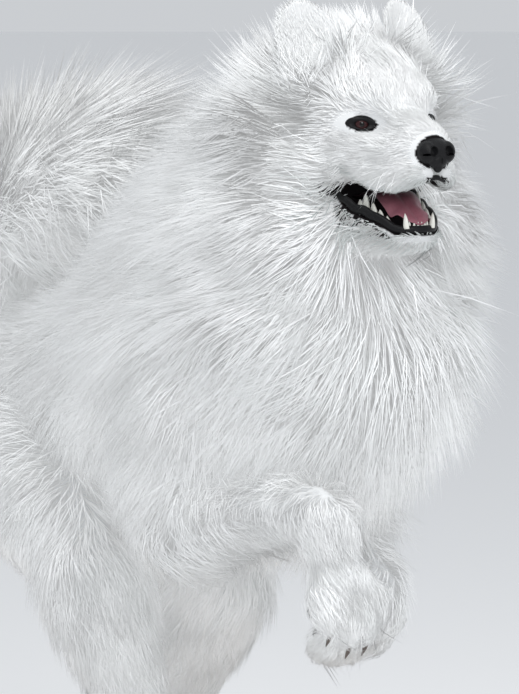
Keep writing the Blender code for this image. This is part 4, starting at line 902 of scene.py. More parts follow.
def rootsOn(corners, normals, crowd, draw):
    # systematic draw by area times crowd, then a random place in each triangle drawn
    area = np.linalg.norm(np.cross(corners[:, 1] - corners[:, 0], corners[:, 2] - corners[:, 0]), axis=1) / 2
    total = np.cumsum(area * crowd)
    count = int(total[-1])
    pick = np.searchsorted(total, (np.arange(count) + draw.random(count)) * total[-1] / count)
    pick = np.minimum(pick, len(area) - 1)
    u, v = draw.random(count), draw.random(count)
    u, v = np.where(u + v > 1, 1 - u, u), np.where(u + v > 1, 1 - v, v)
    share = np.stack([1 - u - v, u, v], -1)[..., None]
    return (corners[pick] * share).sum(1), unit((normals[pick] * share).sum(1))


def clumped(tips, size, seed):
    # mean tip of the tufts whose roots fall in the same cell of a warped grid
    warped = tips / size[:, None] + 0.35 * waves(tips, 0.05, seed)
    key = np.floor(warped).astype(int)
    group = np.unique(key, axis=0, return_inverse=True)[1].ravel()
    count = np.bincount(group)[:, None]
    total = np.stack([np.bincount(group, tips[:, i]) for i in range(3)], -1)
    return (total / count)[group]


def nearestOn(target, points):
    # the nearest place on the target's surface to each point
    probe = meshObject("probe", points, [])
    probe.modifiers.new("wrap", "SHRINKWRAP").target = target
    found = coordinates(applied(probe))
    removed([probe])
    return found


def acrossPlane(v, normals):
    return unit(v - normals * np.einsum("ij,ij->i", v, normals)[:, None])


def tuftPaths(field, roots, normals, share, draw, seed):
    # from station to station: a step along the lie, drawn back to its height over the skin, which is
    # rise * (1 - (1 - s)^power); then swayed and drawn to the clump's tip by s^2
    count = len(roots)
    depth, lie, lift = field(roots)
    along = acrossPlane(lie, normals)
    turn = fur["flow"] * waves(roots, 0.16, seed)[:, 0] + fur["swirl"] * waves(roots, 0.045, seed + 2)[:, 0]
    turn = np.radians(draw.normal(0, fur["jitter"], count) + turn)[:, None]
    low, high = fur["reach"]
    high = high + 0.06 * (draw.random(count) < fur["stray"])
    reach = low + (high - low) * draw.random(count)
    rise = depth * share * reach * (1 + 0.05 * waves(roots, 0.05, seed + 3)[:, 0])
    length = rise / np.tan(np.radians(np.maximum(lift, fur["gentlest"])))
    length = np.minimum(length, fur["longest"]) + 0.003 * share
    length = (length * draw.uniform(0.85, 1.1, count))[:, None]
    point, up, height = roots - normals * 0.001, normals, np.zeros((count, 1))
    path, ups = [point], [up]
    for before, s in zip(stations[:-1], stations[1:]):
        way = along * np.cos(turn) + np.cross(up, along) * np.sin(turn)
        point = point + way * length * (s - before)
        near = nearestOn(skin, point)
        off = point - near
        far = np.linalg.norm(off, axis=1, keepdims=True)
        drawn = (far > height * 0.95) & (np.einsum("ij,ij->i", unit(off), up)[:, None] > 0.4) & (far > 0.0004)
        up = unit(np.where(drawn, unit(off), up))
        point = np.where(drawn, near + up * height, point)
        tall = rise[:, None] * (1 - (1 - s) ** fur["rise"])
        point, height = point + up * (tall - height), tall
        along = acrossPlane(along + field(near)[1], up)
        path.append(point)
        ups.append(up)
    path, ups = np.stack(path[::2], 1), np.stack(ups[::2], 1)
    side = unit(np.cross(ups[:, 0], along))
    s = stations[::2][None, :, None]
    sway = (draw.normal(0, 0.04, count)[:, None] * length)[:, None]
    path = path + side[:, None] * sway * np.sin(s * math.pi * 0.8)
    gather = clumped(path[:, -1], np.interp(depth, [0.003, 0.03, 0.11], [0.003, 0.010, 0.022]), seed + 1)
    pull = fur["clump"] * draw.uniform(0.2, 1.4, count)[:, None, None] * s ** 2
    return path + (gather - path[:, -1])[:, None] * pull, side, ups


def tuftMesh(name, path, side, ups, width, tone, place, material):
    # each ring has three points: two edges and a ridge, and the last point of the path is the tip
    count, rings = path.shape[0], path.shape[1] - 1
    ahead = unit(np.gradient(path, axis=1))
    across = unit(side[:, None] - ahead * np.einsum("ij,ikj->ik", side, ahead)[..., None])
    over = np.cross(ahead, across)
    over = over * np.sign(np.einsum("ikj,ikj->ik", over, ups) + 1e-9)[..., None]
    s = np.linspace(0, 1, rings + 1)
    w = (width[:, None] * np.interp(s[:-1], [0, 0.5, 1], fur["shape"]))[..., None] / 2
    ring = np.stack([path[:, :-1] + across[:, :-1] * w, path[:, :-1] + over[:, :-1] * w * fur["flat"] * 2,
                     path[:, :-1] - across[:, :-1] * w], 2)
    points = np.concatenate([ring.reshape(count, -1, 3), path[:, -1:]], 1)
    long = np.clip(np.linalg.norm(path[:, -1] - path[:, 0], axis=1) / 0.05, 0.15, 1)[:, None]
    broad, fine = fur["tilt"]
    tilt = long * (broad * waves(path[:, 0], 0.055, 71) + fine * waves(path[:, 0], 0.018, 72))
    lean = np.stack([ups + across * fur["round"], ups, ups - across * fur["round"]], 2)[:, :-1]
    lean = unit(np.concatenate([lean.reshape(count, -1, 3), ups[:, -1:]], 1) + tilt[:, None])
    per, faces = rings * 3 + 1, [(0, 1, 2)]
    for i in range(rings - 1):
        for j in range(3):
            a, b, c, d = 3 * i + j, 3 * i + (j + 1) % 3, 3 * i + 3 + (j + 1) % 3, 3 * i + 3 + j
            faces += [(a, c, b), (a, d, c)]
    faces += [(3 * rings - 3 + j, 3 * rings, 3 * rings - 3 + (j + 1) % 3) for j in range(3)]
    flipped = np.einsum("ij,ij->i", np.cross(across[:, 0], over[:, 0]), ahead[:, 0]) < 0
    faces = np.array(faces)
    both = np.where(flipped[:, None, None], faces[:, ::-1], faces)
    corner = (np.arange(count)[:, None, None] * per + both).reshape(-1)
    mesh = bpy.data.meshes.new(name)
    mesh.vertices.add(count * per)
    mesh.vertices.foreach_set("co", points.reshape(-1))
    mesh.loops.add(len(corner))
    mesh.loops.foreach_set("vertex_index", corner)
    mesh.polygons.add(len(corner) // 3)
    mesh.polygons.foreach_set("loop_start", np.arange(0, len(corner), 3))
    mesh.polygons.foreach_set("loop_total", np.full(len(corner) // 3, 3))
    mesh.polygons.foreach_set("use_smooth", [True] * (len(corner) // 3))
    reach = np.r_[np.repeat(s[:-1], 3), 1.0]
    beside = np.r_[np.tile([1.0, 0.5, 0.0], rings), 0.5]
    spot = place[:, None] + 0.003 * np.stack([beside, reach], -1)[None]
    mesh.uv_layers.new(name="OFBake").data.foreach_set("uv", spot.reshape(-1, 2)[corner].ravel())
    mesh.attributes.new("reach", "FLOAT", "POINT").data.foreach_set("value", np.tile(reach, count))
    mesh.attributes.new("tone", "FLOAT", "POINT").data.foreach_set("value", np.repeat(tone, per))
    mesh.attributes.new("lean", "FLOAT_VECTOR", "POINT").data.foreach_set("vector", lean.ravel())
    mesh.update()
    mesh.validate()
    obj = bpy.data.objects.new(name, mesh)
    bpy.context.scene.collection.objects.link(obj)
    mesh.materials.append(material)
    return obj


def coatPiece(name, zoneSet, field, denser, table, material, seed):
    draw = np.random.default_rng(seed)
    corners, normals = table
    middle = corners.mean(1)
    chosen = np.isin(unwrapped(middle)[0], [zoneNames.index(z) for z in zoneSet])
    corners, normals, middle = corners[chosen], normals[chosen], middle[chosen]
    crowd = np.interp(field(middle)[0], fur["depth"], fur["crowd"]) * 1e4 * denser
    crowd = crowd * (furry(middle, normals.mean(1)) > 0.02)
    roots, normal = rootsOn(corners, normals, crowd, draw)
    share = furry(roots, normal)
    roots, normal, share = (v[share > 0.03] for v in (roots, normal, share))
    depth = field(roots)[0]
    width = np.interp(depth, fur["depth"], fur["width"]) * draw.uniform(0.7, 1.3, len(roots))
    place = unwrapped(roots)[1]
    middle, spread, shadePatches = fur["tone"]
    # each tuft's tone drawn at random, with painted shade in soft patches over the body
    tone = middle + spread * draw.normal(size=len(roots)) + shadePatches * waves(roots, 0.06, 31)[:, 1]
    # darker beside the lips: partly hair of their own, partly painted shade
    tone = np.clip(tone - lipShade(roots), 0, 1)
    path, side, ups = tuftPaths(field, roots, normal, share, draw, seed)
    parts = math.ceil(len(roots) / fur["most"])
    pieces = []
    for i, part in enumerate(np.array_split(np.argsort(roots @ (0.6, 0.8, 0.1)), parts)):
        label = name + (str(i + 1) if parts > 1 else "")
        pieces.append(tuftMesh(label, *(v[part] for v in (path, side, ups, width, tone, place)), material))
    triangles = sum(len(p.data.polygons) for p in pieces)
    print(name, len(roots), "tufts,", triangles, "triangles,", parts, "pieces")
    return pieces


# Shader nodes, written as expressions

class Wire:
    # a value in a shader; each operator adds a Math node
    def __init__(self, maker, socket):
        self.maker, self.socket = maker, socket

    def maths(self, operation, *others):
        return self.maker.node("ShaderNodeMath", {"operation": operation}, dict(enumerate((self, *others))))

    def __add__(self, other):
        return self.maths("ADD", other)

    def __mul__(self, other):
        return self.maths("MULTIPLY", other)

    __radd__, __rmul__ = __add__, __mul__

    def band(self, low, high):
        # 0 below low and 1 above high, with a smooth step between
        return self.maker.node("ShaderNodeMapRange", {"interpolation_type": "SMOOTHSTEP"},
                               {"Value": self, "From Min": low, "From Max": high})


class Maker:
    # one material: node() adds a node, paint() sets the sockets of its surface
    def __init__(self, name):
        self.material = bpy.data.materials.new(name)
        self.material.use_nodes = True
        self.nodes, self.links = self.material.node_tree.nodes, self.material.node_tree.links
        self.shader = self.nodes["Principled BSDF"]

    def put(self, socket, value):
        if isinstance(value, Wire):
            self.links.new(value.socket, socket)
        elif isinstance(value, tuple) and len(value) == 3 and socket.type == "RGBA":
            socket.default_value = (*value, 1)
        else:
            socket.default_value = value

    def node(self, kind, settings=None, inputs=None, output=0):
        made = self.nodes.new(kind)
        for key, value in (settings or {}).items():
            setattr(made, key, value)
        for key, value in (inputs or {}).items():
            self.put(made.inputs[key], value)
        return Wire(self, made.outputs[output])

    def attribute(self, name):
        return self.node("ShaderNodeAttribute", {"attribute_name": name}, output="Fac")

    def place(self):
        return self.node("ShaderNodeTexCoord", output="Object")

    def noise(self, scale, detail=3.0, rough=0.5, place=None):
        return self.node("ShaderNodeTexNoise", {}, {"Vector": place or self.place(), "Scale": scale,
                                                    "Detail": detail, "Roughness": rough})

    def blend(self, share, low, high):
        # a colour between low and high
        made = self.nodes.new("ShaderNodeMix")
        made.data_type = "RGBA"
        for socket, value in ((made.inputs[0], share), (made.inputs[6], low), (made.inputs[7], high)):
            self.put(socket, value)
        return Wire(self, made.outputs[2])

    def bump(self, height, distance, strength=1.0):
        return self.node("ShaderNodeBump", {}, {"Height": height, "Distance": distance, "Strength": strength})

    def paint(self, **sockets):
        for key, value in sockets.items():
            self.put(self.shader.inputs[key.replace("_", " ")], value)
        return self.material


def coatMaterial():
    m = Maker("coat")
    reach, tone = m.attribute("reach"), m.attribute("tone")
    hair = m.blend(tone, (0.42, 0.455, 0.45), (0.950, 0.962, 0.970))
    # the roots a little darker than most tips: painted shade deep in the coat
    colour = m.blend(reach.band(0.0, 0.3), (0.90, 0.912, 0.918), hair)
    lean = m.node("ShaderNodeAttribute", {"attribute_name": "lean"}, output="Vector")
    # the emission is painted light, filling the shade between the tufts
    return m.paint(Base_Color=colour, Roughness=0.7, Specular_IOR_Level=0.1, Normal=lean,
                   Emission_Color=colour, Emission_Strength=fur["glow"])


def skinMaterial():
    m = Maker("skin")
    blackSkinAndShade = m.attribute("blackSkinAndShade")
    # black where the skin is black and as painted shade inside the mouth, greyer beside the lips
    colour = m.blend(blackSkinAndShade, (0.60, 0.612, 0.62), (0.005, 0.004, 0.0045))
    # the skin glows as much as the coat: painted light
    return m.paint(Base_Color=colour, Roughness=0.7, Specular_IOR_Level=0.08,
                   Emission_Color=colour, Emission_Strength=fur["glow"])


def paintBlackSkinAndShade(obj):
    # 1 on the black skin and on the black painted shade in the mouth, out to the corners of the faces whose
    # middle is in the mouth; partly darker beside the lips, by lipShade
    mesh = obj.data
    centres = np.empty(len(mesh.polygons) * 3)
    mesh.polygons.foreach_get("center", centres)
    corners, vertices = np.empty(len(mesh.polygons), int), np.empty(len(mesh.loops), int)
    mesh.polygons.foreach_get("loop_total", corners)
    mesh.loops.foreach_get("vertex_index", vertices)
    places = coordinates(obj)
    blackSkinAndShade = np.maximum(bareSkin(places), 0.35 * lipShade(places))
    blackSkinAndShade[vertices[np.repeat(inMouth(centres.reshape(-1, 3)), corners)]] = 1.0
    mesh.attributes.new("blackSkinAndShade", "FLOAT", "POINT").data.foreach_set("value", blackSkinAndShade)


# Skin and coat put together

coatFinish, skinFinish = coatMaterial(), skinMaterial()
skin.data.materials.clear()
skin.data.materials.append(skinFinish)
paintBlackSkinAndShade(skin)
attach(skin, "root")
flesh = ["torso", "neck", "head", "lower_jaw", "tail_root", "tail_plume"]
flesh += [part + side for part in ("ear_", "foreleg_", "hindleg_", "forepaw_", "hindpaw_")
          for side in ("right", "left")]
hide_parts(*flesh)

table = skinTable(skin)
for number, (name, (zoneSet, field, denser)) in enumerate(coatPieces.items()):
    for piece in coatPiece(name, zoneSet, field, denser, table, coatFinish, fur["seed"] + number):
        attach(piece, "root")


# The face: eyes with their lids, nose, lips, teeth, tongue and whiskers

def loopFaces(rows, sides):
    # quads of a grid that closes on itself both ways
    i, j = np.meshgrid(np.arange(rows), np.arange(sides), indexing="ij")
    a, b = (i + 1) % rows, (j + 1) % sides
    return np.stack([i * sides + j, i * sides + b, a * sides + b, a * sides + j], -1).reshape(-1, 4).tolist()


def joined(name, pieces, material, nodes=()):
    # the pieces as one mesh with one finish, which rides on the body and stands for the nodes
    obj = gathered(name, pieces)
    obj.data.materials.append(material)
    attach(obj, "root")
    if nodes:
        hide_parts(*nodes)
    return obj


def eyeBall(y):
    # radius + cornea * (1 - (a / edge)^2)^2, where a is the angle from the gaze
    centre, axes = eyeFrame(y)
    rings, sides = eye["grid"]
    a = np.linspace(0.03, math.pi - 0.03, rings)[:, None]
    t = circle(sides)[None]
    r = eye["radius"] + eye["cornea"] * np.clip(1 - (a / eye["iris"]) ** 2, 0, 1) ** 2
    grid = np.stack([r * np.cos(a) + 0 * t, r * np.sin(a) * np.cos(t), r * np.sin(a) * np.sin(t)], -1)
    ends = [(eye["radius"] + eye["cornea"], 0, 0), (-eye["radius"], 0, 0)]
    points = np.concatenate([grid.reshape(-1, 3), ends]) @ axes.T + centre
    return outward(meshObject("eyeball", points, ringFaces(rings, sides)))


def lidForm(y):
    # rows from the edge of the opening out to the skin, then back beneath: a lid thick at its edge
    centre, axes = eyeFrame(y)
    t = circle(eye["lidSides"])
    upper = np.sin(t) > 0

    def outline(wide, top, low):
        high = np.where(upper, top, low) * np.sin(t) * np.abs(np.sin(t)) ** 0.2
        return np.stack([wide * np.cos(t), high], -1)

    inner, outer = outline(*eye["slit"]), outline(*eye["dark"])
    ballX = np.sqrt(eye["radius"] ** 2 - (inner ** 2).sum(-1))
    rows = []
    for q in (0.0, 0.03, 0.10, 0.20, 0.34, 0.50, 0.68, 0.86, 1.0):
        place = inner + (outer - inner) * q
        start = np.concatenate([(ballX + 0.0010)[:, None], place], 1)
        skinX = ((nearestOn(skin, start @ axes.T + centre) - centre) @ axes)[:, 0]
        share = smoothstep(0.06, 1.0, q)
        edge = eye["thick"] * math.sqrt(min(q / 0.10, 1.0)) - 0.0003
        fold = np.where(upper, 0.0013, 0.0004) * math.exp(-((q - 0.42) / 0.16) ** 2) * np.abs(np.sin(t))
        x = (ballX + edge) * (1 - share) + (skinX + 0.0014 - 0.0020 * q ** 4) * share + fold
        rows.append(np.concatenate([x[:, None], place], 1))
    rows.append(np.concatenate([rows[-1][:, :1] - 0.0030, outer * 0.96], 1))
    rows.append(np.concatenate([ballX[:, None] - 0.0020, inner * 1.10], 1))
    points = np.stack(rows).reshape(-1, 3) @ axes.T + centre
    return outward(meshObject("lid", points, loopFaces(len(rows), len(t))))


def eyeMaterial():
    m = Maker("eye")
    angle = m.attribute("angle")
    iris = m.blend(m.noise(900, 2), (0.012, 0.004, 0.004), (0.060, 0.014, 0.015))
    inside = m.blend(angle.band(*eye["pupil"]), (0.002, 0.002, 0.002), iris)
    rim = m.blend(angle.band(eye["iris"] - 0.14, eye["iris"] - 0.02), inside, (0.008, 0.005, 0.005))
    colour = m.blend(angle.band(eye["iris"], eye["iris"] + 0.10), rim, (0.010, 0.007, 0.007))
    return m.paint(Base_Color=colour, Roughness=0.10, Specular_IOR_Level=0.15, Coat_Weight=0.35,
                   Coat_Roughness=0.04)


def blackSkin(name, scale, deep, rough, tint=(0.006, 0.006, 0.0065)):
    # moist black skin with small cells
    m = Maker(name)
    cells = m.node("ShaderNodeTexVoronoi", {"feature": "SMOOTH_F1"}, {"Vector": m.place(), "Scale": scale})
    light = tuple(2.4 * c for c in tint)
    return m.paint(Base_Color=m.blend(m.noise(60), tint, light), Roughness=rough, Specular_IOR_Level=0.14,
                   Normal=m.bump(cells, deep, 0.8))


def noseForm():
    forms = [ball(onHead(*p), r, headTurn) for p, r in nose["pad"]]
    centre, radii = nose["wing"]
    forms += [ball(onHead(centre[0], centre[1] * y, centre[2]), radii, headTurn) for y in (-1, 1)]
    pad = melted("pad", forms, 0.0008, 5)
    holes = [ball(onHead(*nose["groove"][0]), nose["groove"][1], headTurn)]
    holes += [ball(onHead(p[0], p[1] * y, p[2]), r, headTurn) for p, r in nose["nostril"] for y in (-1, 1)]
    for hole in holes:
        combined(pad, [hole], "DIFFERENCE")
    return shadedSmooth(pad)


lips = {
    # forward, out, up, half width, half height
    "lower": [(0.0387, 0.000, -0.0980, 0.0026, 0.0037), (0.0373, 0.0095, -0.0978, 0.0026, 0.0037),
              (0.0330, 0.0176, -0.0974, 0.0026, 0.0037), (0.0275, 0.0232, -0.0950, 0.0027, 0.0040),
              (0.0228, 0.0268, -0.0905, 0.0028, 0.0042), (0.0155, 0.0298, -0.0863, 0.0030, 0.0044),
              (0.0065, 0.0326, -0.0824, 0.0031, 0.0046), (-0.0025, 0.0350, -0.0788, 0.0032, 0.0046),
              (-0.0118, 0.0373, -0.0748, 0.0031, 0.0044), (-0.0224, 0.0396, -0.0690, 0.0029, 0.0036),
              (-0.0325, 0.0405, -0.0615, 0.0024, 0.0028)],
    "upper": [(0.0655, 0.000, -0.0520, 0.0018, 0.0024), (0.0625, 0.010, -0.0545, 0.0018, 0.0022),
              (0.0535, 0.0180, -0.0570, 0.0018, 0.0020), (0.0445, 0.0235, -0.0588, 0.0018, 0.0020),
              (0.0310, 0.0280, -0.0588, 0.0018, 0.0020), (0.0170, 0.0315, -0.0562, 0.0018, 0.0020),
              (0.0018, 0.0345, -0.0495, 0.0018, 0.0020), (-0.0137, 0.0370, -0.0454, 0.0018, 0.0020),
              (-0.0236, 0.0388, -0.0455, 0.0018, 0.0022), (-0.0320, 0.0400, -0.0540, 0.0022, 0.0030)],
    "wave": 0.0011, "waves": 9, "rings": 160,
}


def lipForm(rows, wave):
    # from one corner of the mouth round the front to the other, its back half wavy
    right = [(f, -w, u, a, b) for f, w, u, a, b in rows[:0:-1]]
    count = lips["rings"]
    curve = spline(right + list(rows), count)
    turn = np.linspace(-1, 1, count)
    curve[:, 2] += wave * np.sin(turn * math.pi * lips["waves"]) * smoothstep(0.35, 0.7, np.abs(turn))
    curve[:, :3] = outOfHead(curve[:, :3])
    return tube(curve, rings=count, sides=14, upward=headTurn[:, 2])


def toothForm(base, tip, long, thick):
    # rings from base to tip, an ellipse that shrinks by (1 - s^1.8)^0.75, its point bent back by s^2
    s = np.linspace(0, 0.985, 9)[:, None, None]
    t = circle(12)[None, :, None]
    base, tip = np.array(base), np.array(tip)
    shrink = (1 - s ** 1.8) ** 0.75
    centre = base + (tip - base) * s + np.array([-0.10, 0, 0]) * np.linalg.norm(tip - base) * (s ** 2 - s)
    oval = np.cos(t) * long * np.array([1, 0, 0]) + np.sin(t) * thick * np.array([0, 1, 0])
    ring = centre + shrink * oval
    points = outOfHead(np.concatenate([ring.reshape(-1, 3), [base, tip]]))
    return outward(meshObject("tooth", points, ringFaces(9, 12)))


teeth = {
    # base and tip in the head's frame, half length and half thickness
    "canine": [((0.0362, 0.0138, -0.0970), (0.0370, 0.0152, -0.0828), 0.0034, 0.0027)],
    "incisors": [((0.0368, 0.0019, -0.0985), (0.0382, 0.0019, -0.0908), 0.0012, 0.0018),
                 ((0.0360, 0.0056, -0.0985), (0.0374, 0.0057, -0.0906), 0.0013, 0.0019),
                 ((0.0345, 0.0093, -0.0985), (0.0358, 0.0097, -0.0902), 0.0014, 0.0020)],
    "cheek": [((0.0205, 0.0228, -0.0905), (0.0200, 0.0229, -0.0845), 0.0030, 0.0018),
              ((0.0128, 0.0250, -0.0870), (0.0122, 0.0251, -0.0785), 0.0044, 0.0023),
              ((0.0042, 0.0268, -0.0840), (0.0044, 0.0269, -0.0722), 0.0052, 0.0028),
              ((-0.0060, 0.0282, -0.0810), (-0.0045, 0.0283, -0.0635), 0.0050, 0.0032),
              ((-0.0130, 0.0288, -0.0790), (-0.0130, 0.0290, -0.0685), 0.0046, 0.0034)],
}


def toothForms():
    forms = []
    for y in (-1, 1):
        for rows in teeth.values():
            for base, tip, long, thick in rows:
                forms.append(toothForm(np.array(base) * (1, y, 1), np.array(tip) * (1, y, 1), long, thick))
    return forms


def gumForms():
    rows = [(0.0215, 0.0228, -0.0915), (0.0120, 0.0250, -0.0868), (0.0000, 0.0274, -0.0820),
            (-0.0150, 0.0290, -0.0780)]
    return [tube([(*onHead(f, w * y, u), 0.0034, 0.0036) for f, w, u in rows], rings=40, sides=12)
            for y in (-1, 1)]


tongue = {
    # forward, up, half width, half thickness and droop of its edges
    "rows": [(-0.060, -0.0720, 0.0190, 0.0045, 0.000), (-0.038, -0.0670, 0.0215, 0.0045, 0.000),
             (-0.014, -0.0640, 0.0220, 0.0042, 0.000), (0.003, -0.0658, 0.0215, 0.0038, 0.001),
             (0.012, -0.0715, 0.0208, 0.0034, 0.006), (0.020, -0.0775, 0.0192, 0.0030, 0.008),
             (0.028, -0.0835, 0.0155, 0.0028, 0.001), (0.0350, -0.0890, 0.0115, 0.0024, 0.000),
             (0.0385, -0.0925, 0.0050, 0.0016, 0.000)],
    "groove": 0.0019, "rings": 60, "sides": 48,
}


def tongueForm():
    # rings across: x = half width * cos(t), top hollowed by groove * exp(-(x / 3 mm)^2), edges droop by x^4
    rows = spline(tongue["rows"], tongue["rings"])
    t = circle(tongue["sides"])[None]
    f, u, wide, high, droop = (rows[:, i:i + 1] for i in range(5))
    x = np.cos(t)
    edge = 0.0007 * np.sin(f * 420 + 3 * np.sign(x)) * np.abs(x) ** 3
    up = u + high * np.sin(t) * (1 - 0.35 * x ** 4) - droop * x ** 4 + edge
    up = up - (np.sin(t) > -0.2) * tongue["groove"] * np.exp(-(x * wide / 0.003) ** 2)
    grid = np.stack([f + 0 * x, wide * x * (1 + 0.03 * np.sin(f * 300)), up], -1).reshape(-1, 3)
    ends = [(rows[0, 0] - 0.002, 0, rows[0, 1]), (rows[-1, 0] + 0.001, 0, rows[-1, 1])]
    points = outOfHead(np.concatenate([grid, ends]))
    return outward(meshObject("tongue", points, ringFaces(tongue["rings"], tongue["sides"])))


def tongueMaterial():
    m = Maker("tongue")
    forward = m.node("ShaderNodeSeparateXYZ", {}, {"Vector": m.place()}, output="X")
    colour = m.blend(m.noise(90), (0.22, 0.070, 0.098), (0.40, 0.155, 0.190))
    # near black behind the front of the tongue: painted shade inside the mouth
    colour = m.blend(forward.band(0.368, 0.394), (0.016, 0.006, 0.008), colour)
    return m.paint(Base_Color=colour, Roughness=0.42, Normal=m.bump(m.noise(1300, 1), 0.0004, 0.5))


def toothMaterial():
    m = Maker("tooth")
    return m.paint(Base_Color=m.blend(m.noise(120), (0.70, 0.69, 0.62), (0.84, 0.83, 0.78)), Roughness=0.22)


def gumMaterial():
    m = Maker("gum")
    return m.paint(Base_Color=m.blend(m.noise(140), (0.030, 0.010, 0.012), (0.16, 0.040, 0.052)),
                   Roughness=0.3)


whiskers = {"each": 12, "length": (0.026, 0.046), "width": 0.00040, "seed": 5}


def whiskerMesh(material):
    # each a curve from the side of the muzzle: out, forward and down, drooping by s^2
    draw = np.random.default_rng(whiskers["seed"])
    count = whiskers["each"] * 2
    y = np.repeat([-1.0, 1.0], whiskers["each"])
    f, u = draw.uniform(0.026, 0.056, count), draw.uniform(-0.055, -0.042, count)
    root = nearestOn(skin, outOfHead(np.stack([f, y * 0.034, u], -1)))
    way = np.stack([draw.uniform(-0.35, 0.55, count), y * draw.uniform(0.7, 1.0, count),
                    draw.uniform(-0.75, 0.05, count)], -1)
    way = unit(way) @ headTurn.T
    length = draw.uniform(*whiskers["length"], count)[:, None, None]
    s = np.linspace(0, 1, 7)[None, :, None]
    path = root[:, None] - way[:, None] * 0.001 + way[:, None] * length * s
    path = path + (np.array([0, 0, -0.22]) + 0.25 * headTurn[:, 0]) * length * s ** 2
    side = unit(np.cross(way, (0, 0, 1)))
    ups = np.repeat(np.cross(side, way)[:, None], 7, axis=1)
    place = unwrapped(root)[1]
    return tuftMesh("whiskers", path, side, ups, np.full(count, whiskers["width"]), np.ones(count), place,
                    material)


eyeFinish, lidFinish = eyeMaterial(), blackSkin("lid skin", 2600, 0.0001, 0.32)
noseFinish, lipFinish = blackSkin("nose skin", 1150, 0.0004, 0.34), blackSkin("lip skin", 1800, 0.0002, 0.30)
for side, y in (("right", -1), ("left", 1)):
    ballPiece = joined("eyeball_" + side, [eyeBall(y)], eyeFinish, ["eye_" + side])
    centre, axes = eyeFrame(y)
    angle = np.arccos(np.clip(unit(coordinates(ballPiece) - centre) @ axes[:, 0], -1, 1))
    ballPiece.data.attributes.new("angle", "FLOAT", "POINT").data.foreach_set("value", angle)
    joined("lids_" + side, [lidForm(y)], lidFinish)
joined("nosePad", [noseForm()], noseFinish, ["nose"])
joined("lips", [lipForm(lips["lower"], lips["wave"]), lipForm(lips["upper"], 0.0)], lipFinish)
joined("teeth", toothForms(), toothMaterial())
joined("gums", gumForms(), gumMaterial())
joined("tonguePiece", [tongueForm()], tongueMaterial(), ["tongue"])
whiskerPiece = whiskerMesh(coatFinish)
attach(whiskerPiece, "root")
print("face done")

# Feet: claws and pads

claw = {"root": (0.033, 0.004), "tip": (0.051, -0.008), "radius": 0.0032}
pads = {"toe": ((0.018, -0.0095), (0.0115, 0.0088, 0.0062)),
        "heel": ((-0.002, -0.0135), (0.0165, 0.0190, 0.0078))}


def clawForm(place, s, f):
    # a horn that thins and bends down to its tip
    (f0, u0), (f1, u1), r = claw["root"], claw["tip"], claw["radius"]
    middle = place((f0 + f1) / 2 + f + 0.001, s, (u0 + u1) / 2 + 0.003)
    rows = [(*place(f0 + f, s, u0), r, r * 1.2), (*middle, r * 0.75, r),
            (*place(f1 + f, s, u1), r * 0.12, r * 0.15)]
    return tube(rows, rings=12, sides=10)


def footForms():
    claws, soles = [], []
    for _, _, knuckles, axes, _ in paws():
        def place(f, s, u):
            return knuckles + axes @ np.array([f, s, u])

        for s, f in toes:
            claws.append(clawForm(place, s, f))
            (ahead, up), radii = pads["toe"]
            soles.append(ball(place(ahead + f, s, up), radii, axes))
        (ahead, up), radii = pads["heel"]
        soles.append(ball(place(ahead, 0, up), radii, axes))
    return claws, soles


def hornMaterial():
    m = Maker("horn")
    return m.paint(Base_Color=m.blend(m.noise(200), (0.045, 0.035, 0.030), (0.16, 0.13, 0.11)),
                   Roughness=0.35)


claws, soles = footForms()
joined("claws", claws, hornMaterial())
joined("pads", soles, blackSkin("pad skin", 900, 0.0006, 0.6, (0.022, 0.020, 0.020)))

# Stand: a wooden base and a brushed steel rod

def woodMaterial():
    # grain along the board, from a noise stretched in that direction
    m = Maker("oiled oak")
    grain = m.node("ShaderNodeMapping", {}, {"Vector": m.place(), "Scale": (1.6, 26.0, 26.0)})
    rings = m.noise(3.0, 5.0, 0.62, grain)
    fine = m.noise(34.0, 3.0, 0.6, grain)
    tone = (rings * 0.75 + fine * 0.25).band(0.30, 0.70)
    colour = m.blend(tone, (0.16, 0.085, 0.040), (0.42, 0.26, 0.14))
    return m.paint(Base_Color=colour, Roughness=0.38 + fine * 0.12, Normal=m.bump(fine, 0.0003, 0.5))


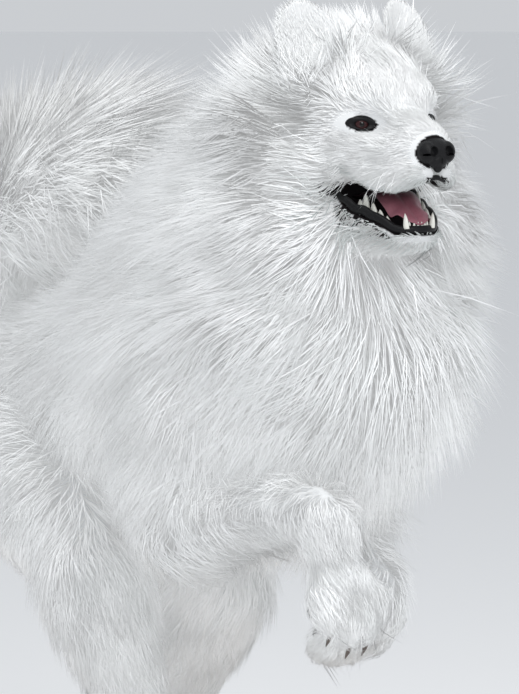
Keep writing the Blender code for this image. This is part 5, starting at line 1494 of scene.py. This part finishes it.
def steelMaterial():
    # fine scratches round the rod
    m = Maker("brushed steel")
    scratched = m.node("ShaderNodeMapping", {}, {"Vector": m.place(), "Scale": (40.0, 40.0, 2600.0)})
    lines = m.noise(1.0, 2.0, 0.5, scratched)
    return m.paint(Base_Color=m.blend(lines, (0.50, 0.51, 0.52), (0.68, 0.69, 0.70)), Metallic=1.0,
                   Roughness=0.24 + lines * 0.16, Normal=m.bump(lines, 0.00005, 0.4))


for name, finish in (("stand_base", woodMaterial()), ("stand_rod", steelMaterial())):
    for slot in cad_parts[name].material_slots:
        slot.material = finish


# Floor, light and air

def plainMaterial(name, colour, rough):
    return Maker(name).paint(Base_Color=colour, Roughness=rough)


def lamp(name, place, aim, size, power, colour):
    light = bpy.data.lights.new(name, "AREA")
    light.shape, light.size, light.energy, light.color = "DISK", size, power, colour
    obj = bpy.data.objects.new(name, light)
    bpy.context.scene.collection.objects.link(obj)
    obj.location = place
    obj.rotation_mode = "QUATERNION"
    obj.rotation_quaternion = (Vector(place) - Vector(aim)).to_track_quat("Z", "Y")


stage = {
    "half": 60,                                                        # metres of floor each way
    "floor": ((0.94, 0.945, 0.95), 0.9), "air": ((0.93, 0.96, 1.0, 1), 0.64),
    # place, aim, size, power and colour
    "sky": ((1.3, -0.9, 3.3), (0.2, 0, 0.7), 2.6, 48, (1.0, 0.99, 0.97)),
    "window": ((3.56, -0.91, 2.28), (0.37, 0, 0.87), 1.3, 36, (0.98, 0.99, 1.0)),
}
far = stage["half"]
floor = meshObject("floor", [(-far, -far, 0), (far, -far, 0), (far, far, 0), (-far, far, 0)], [(0, 1, 2, 3)],
                   smooth=False)
floor.data.materials.append(plainMaterial("floor", *stage["floor"]))
world = bpy.data.worlds.new("air")
bpy.context.scene.world = world
world.use_nodes = True
for socket, value in zip(("Color", "Strength"), stage["air"]):
    world.node_tree.nodes["Background"].inputs[socket].default_value = value
for name in ("sky", "window"):
    lamp(name, *stage[name])
bpy.context.scene.view_settings.view_transform = "Standard"
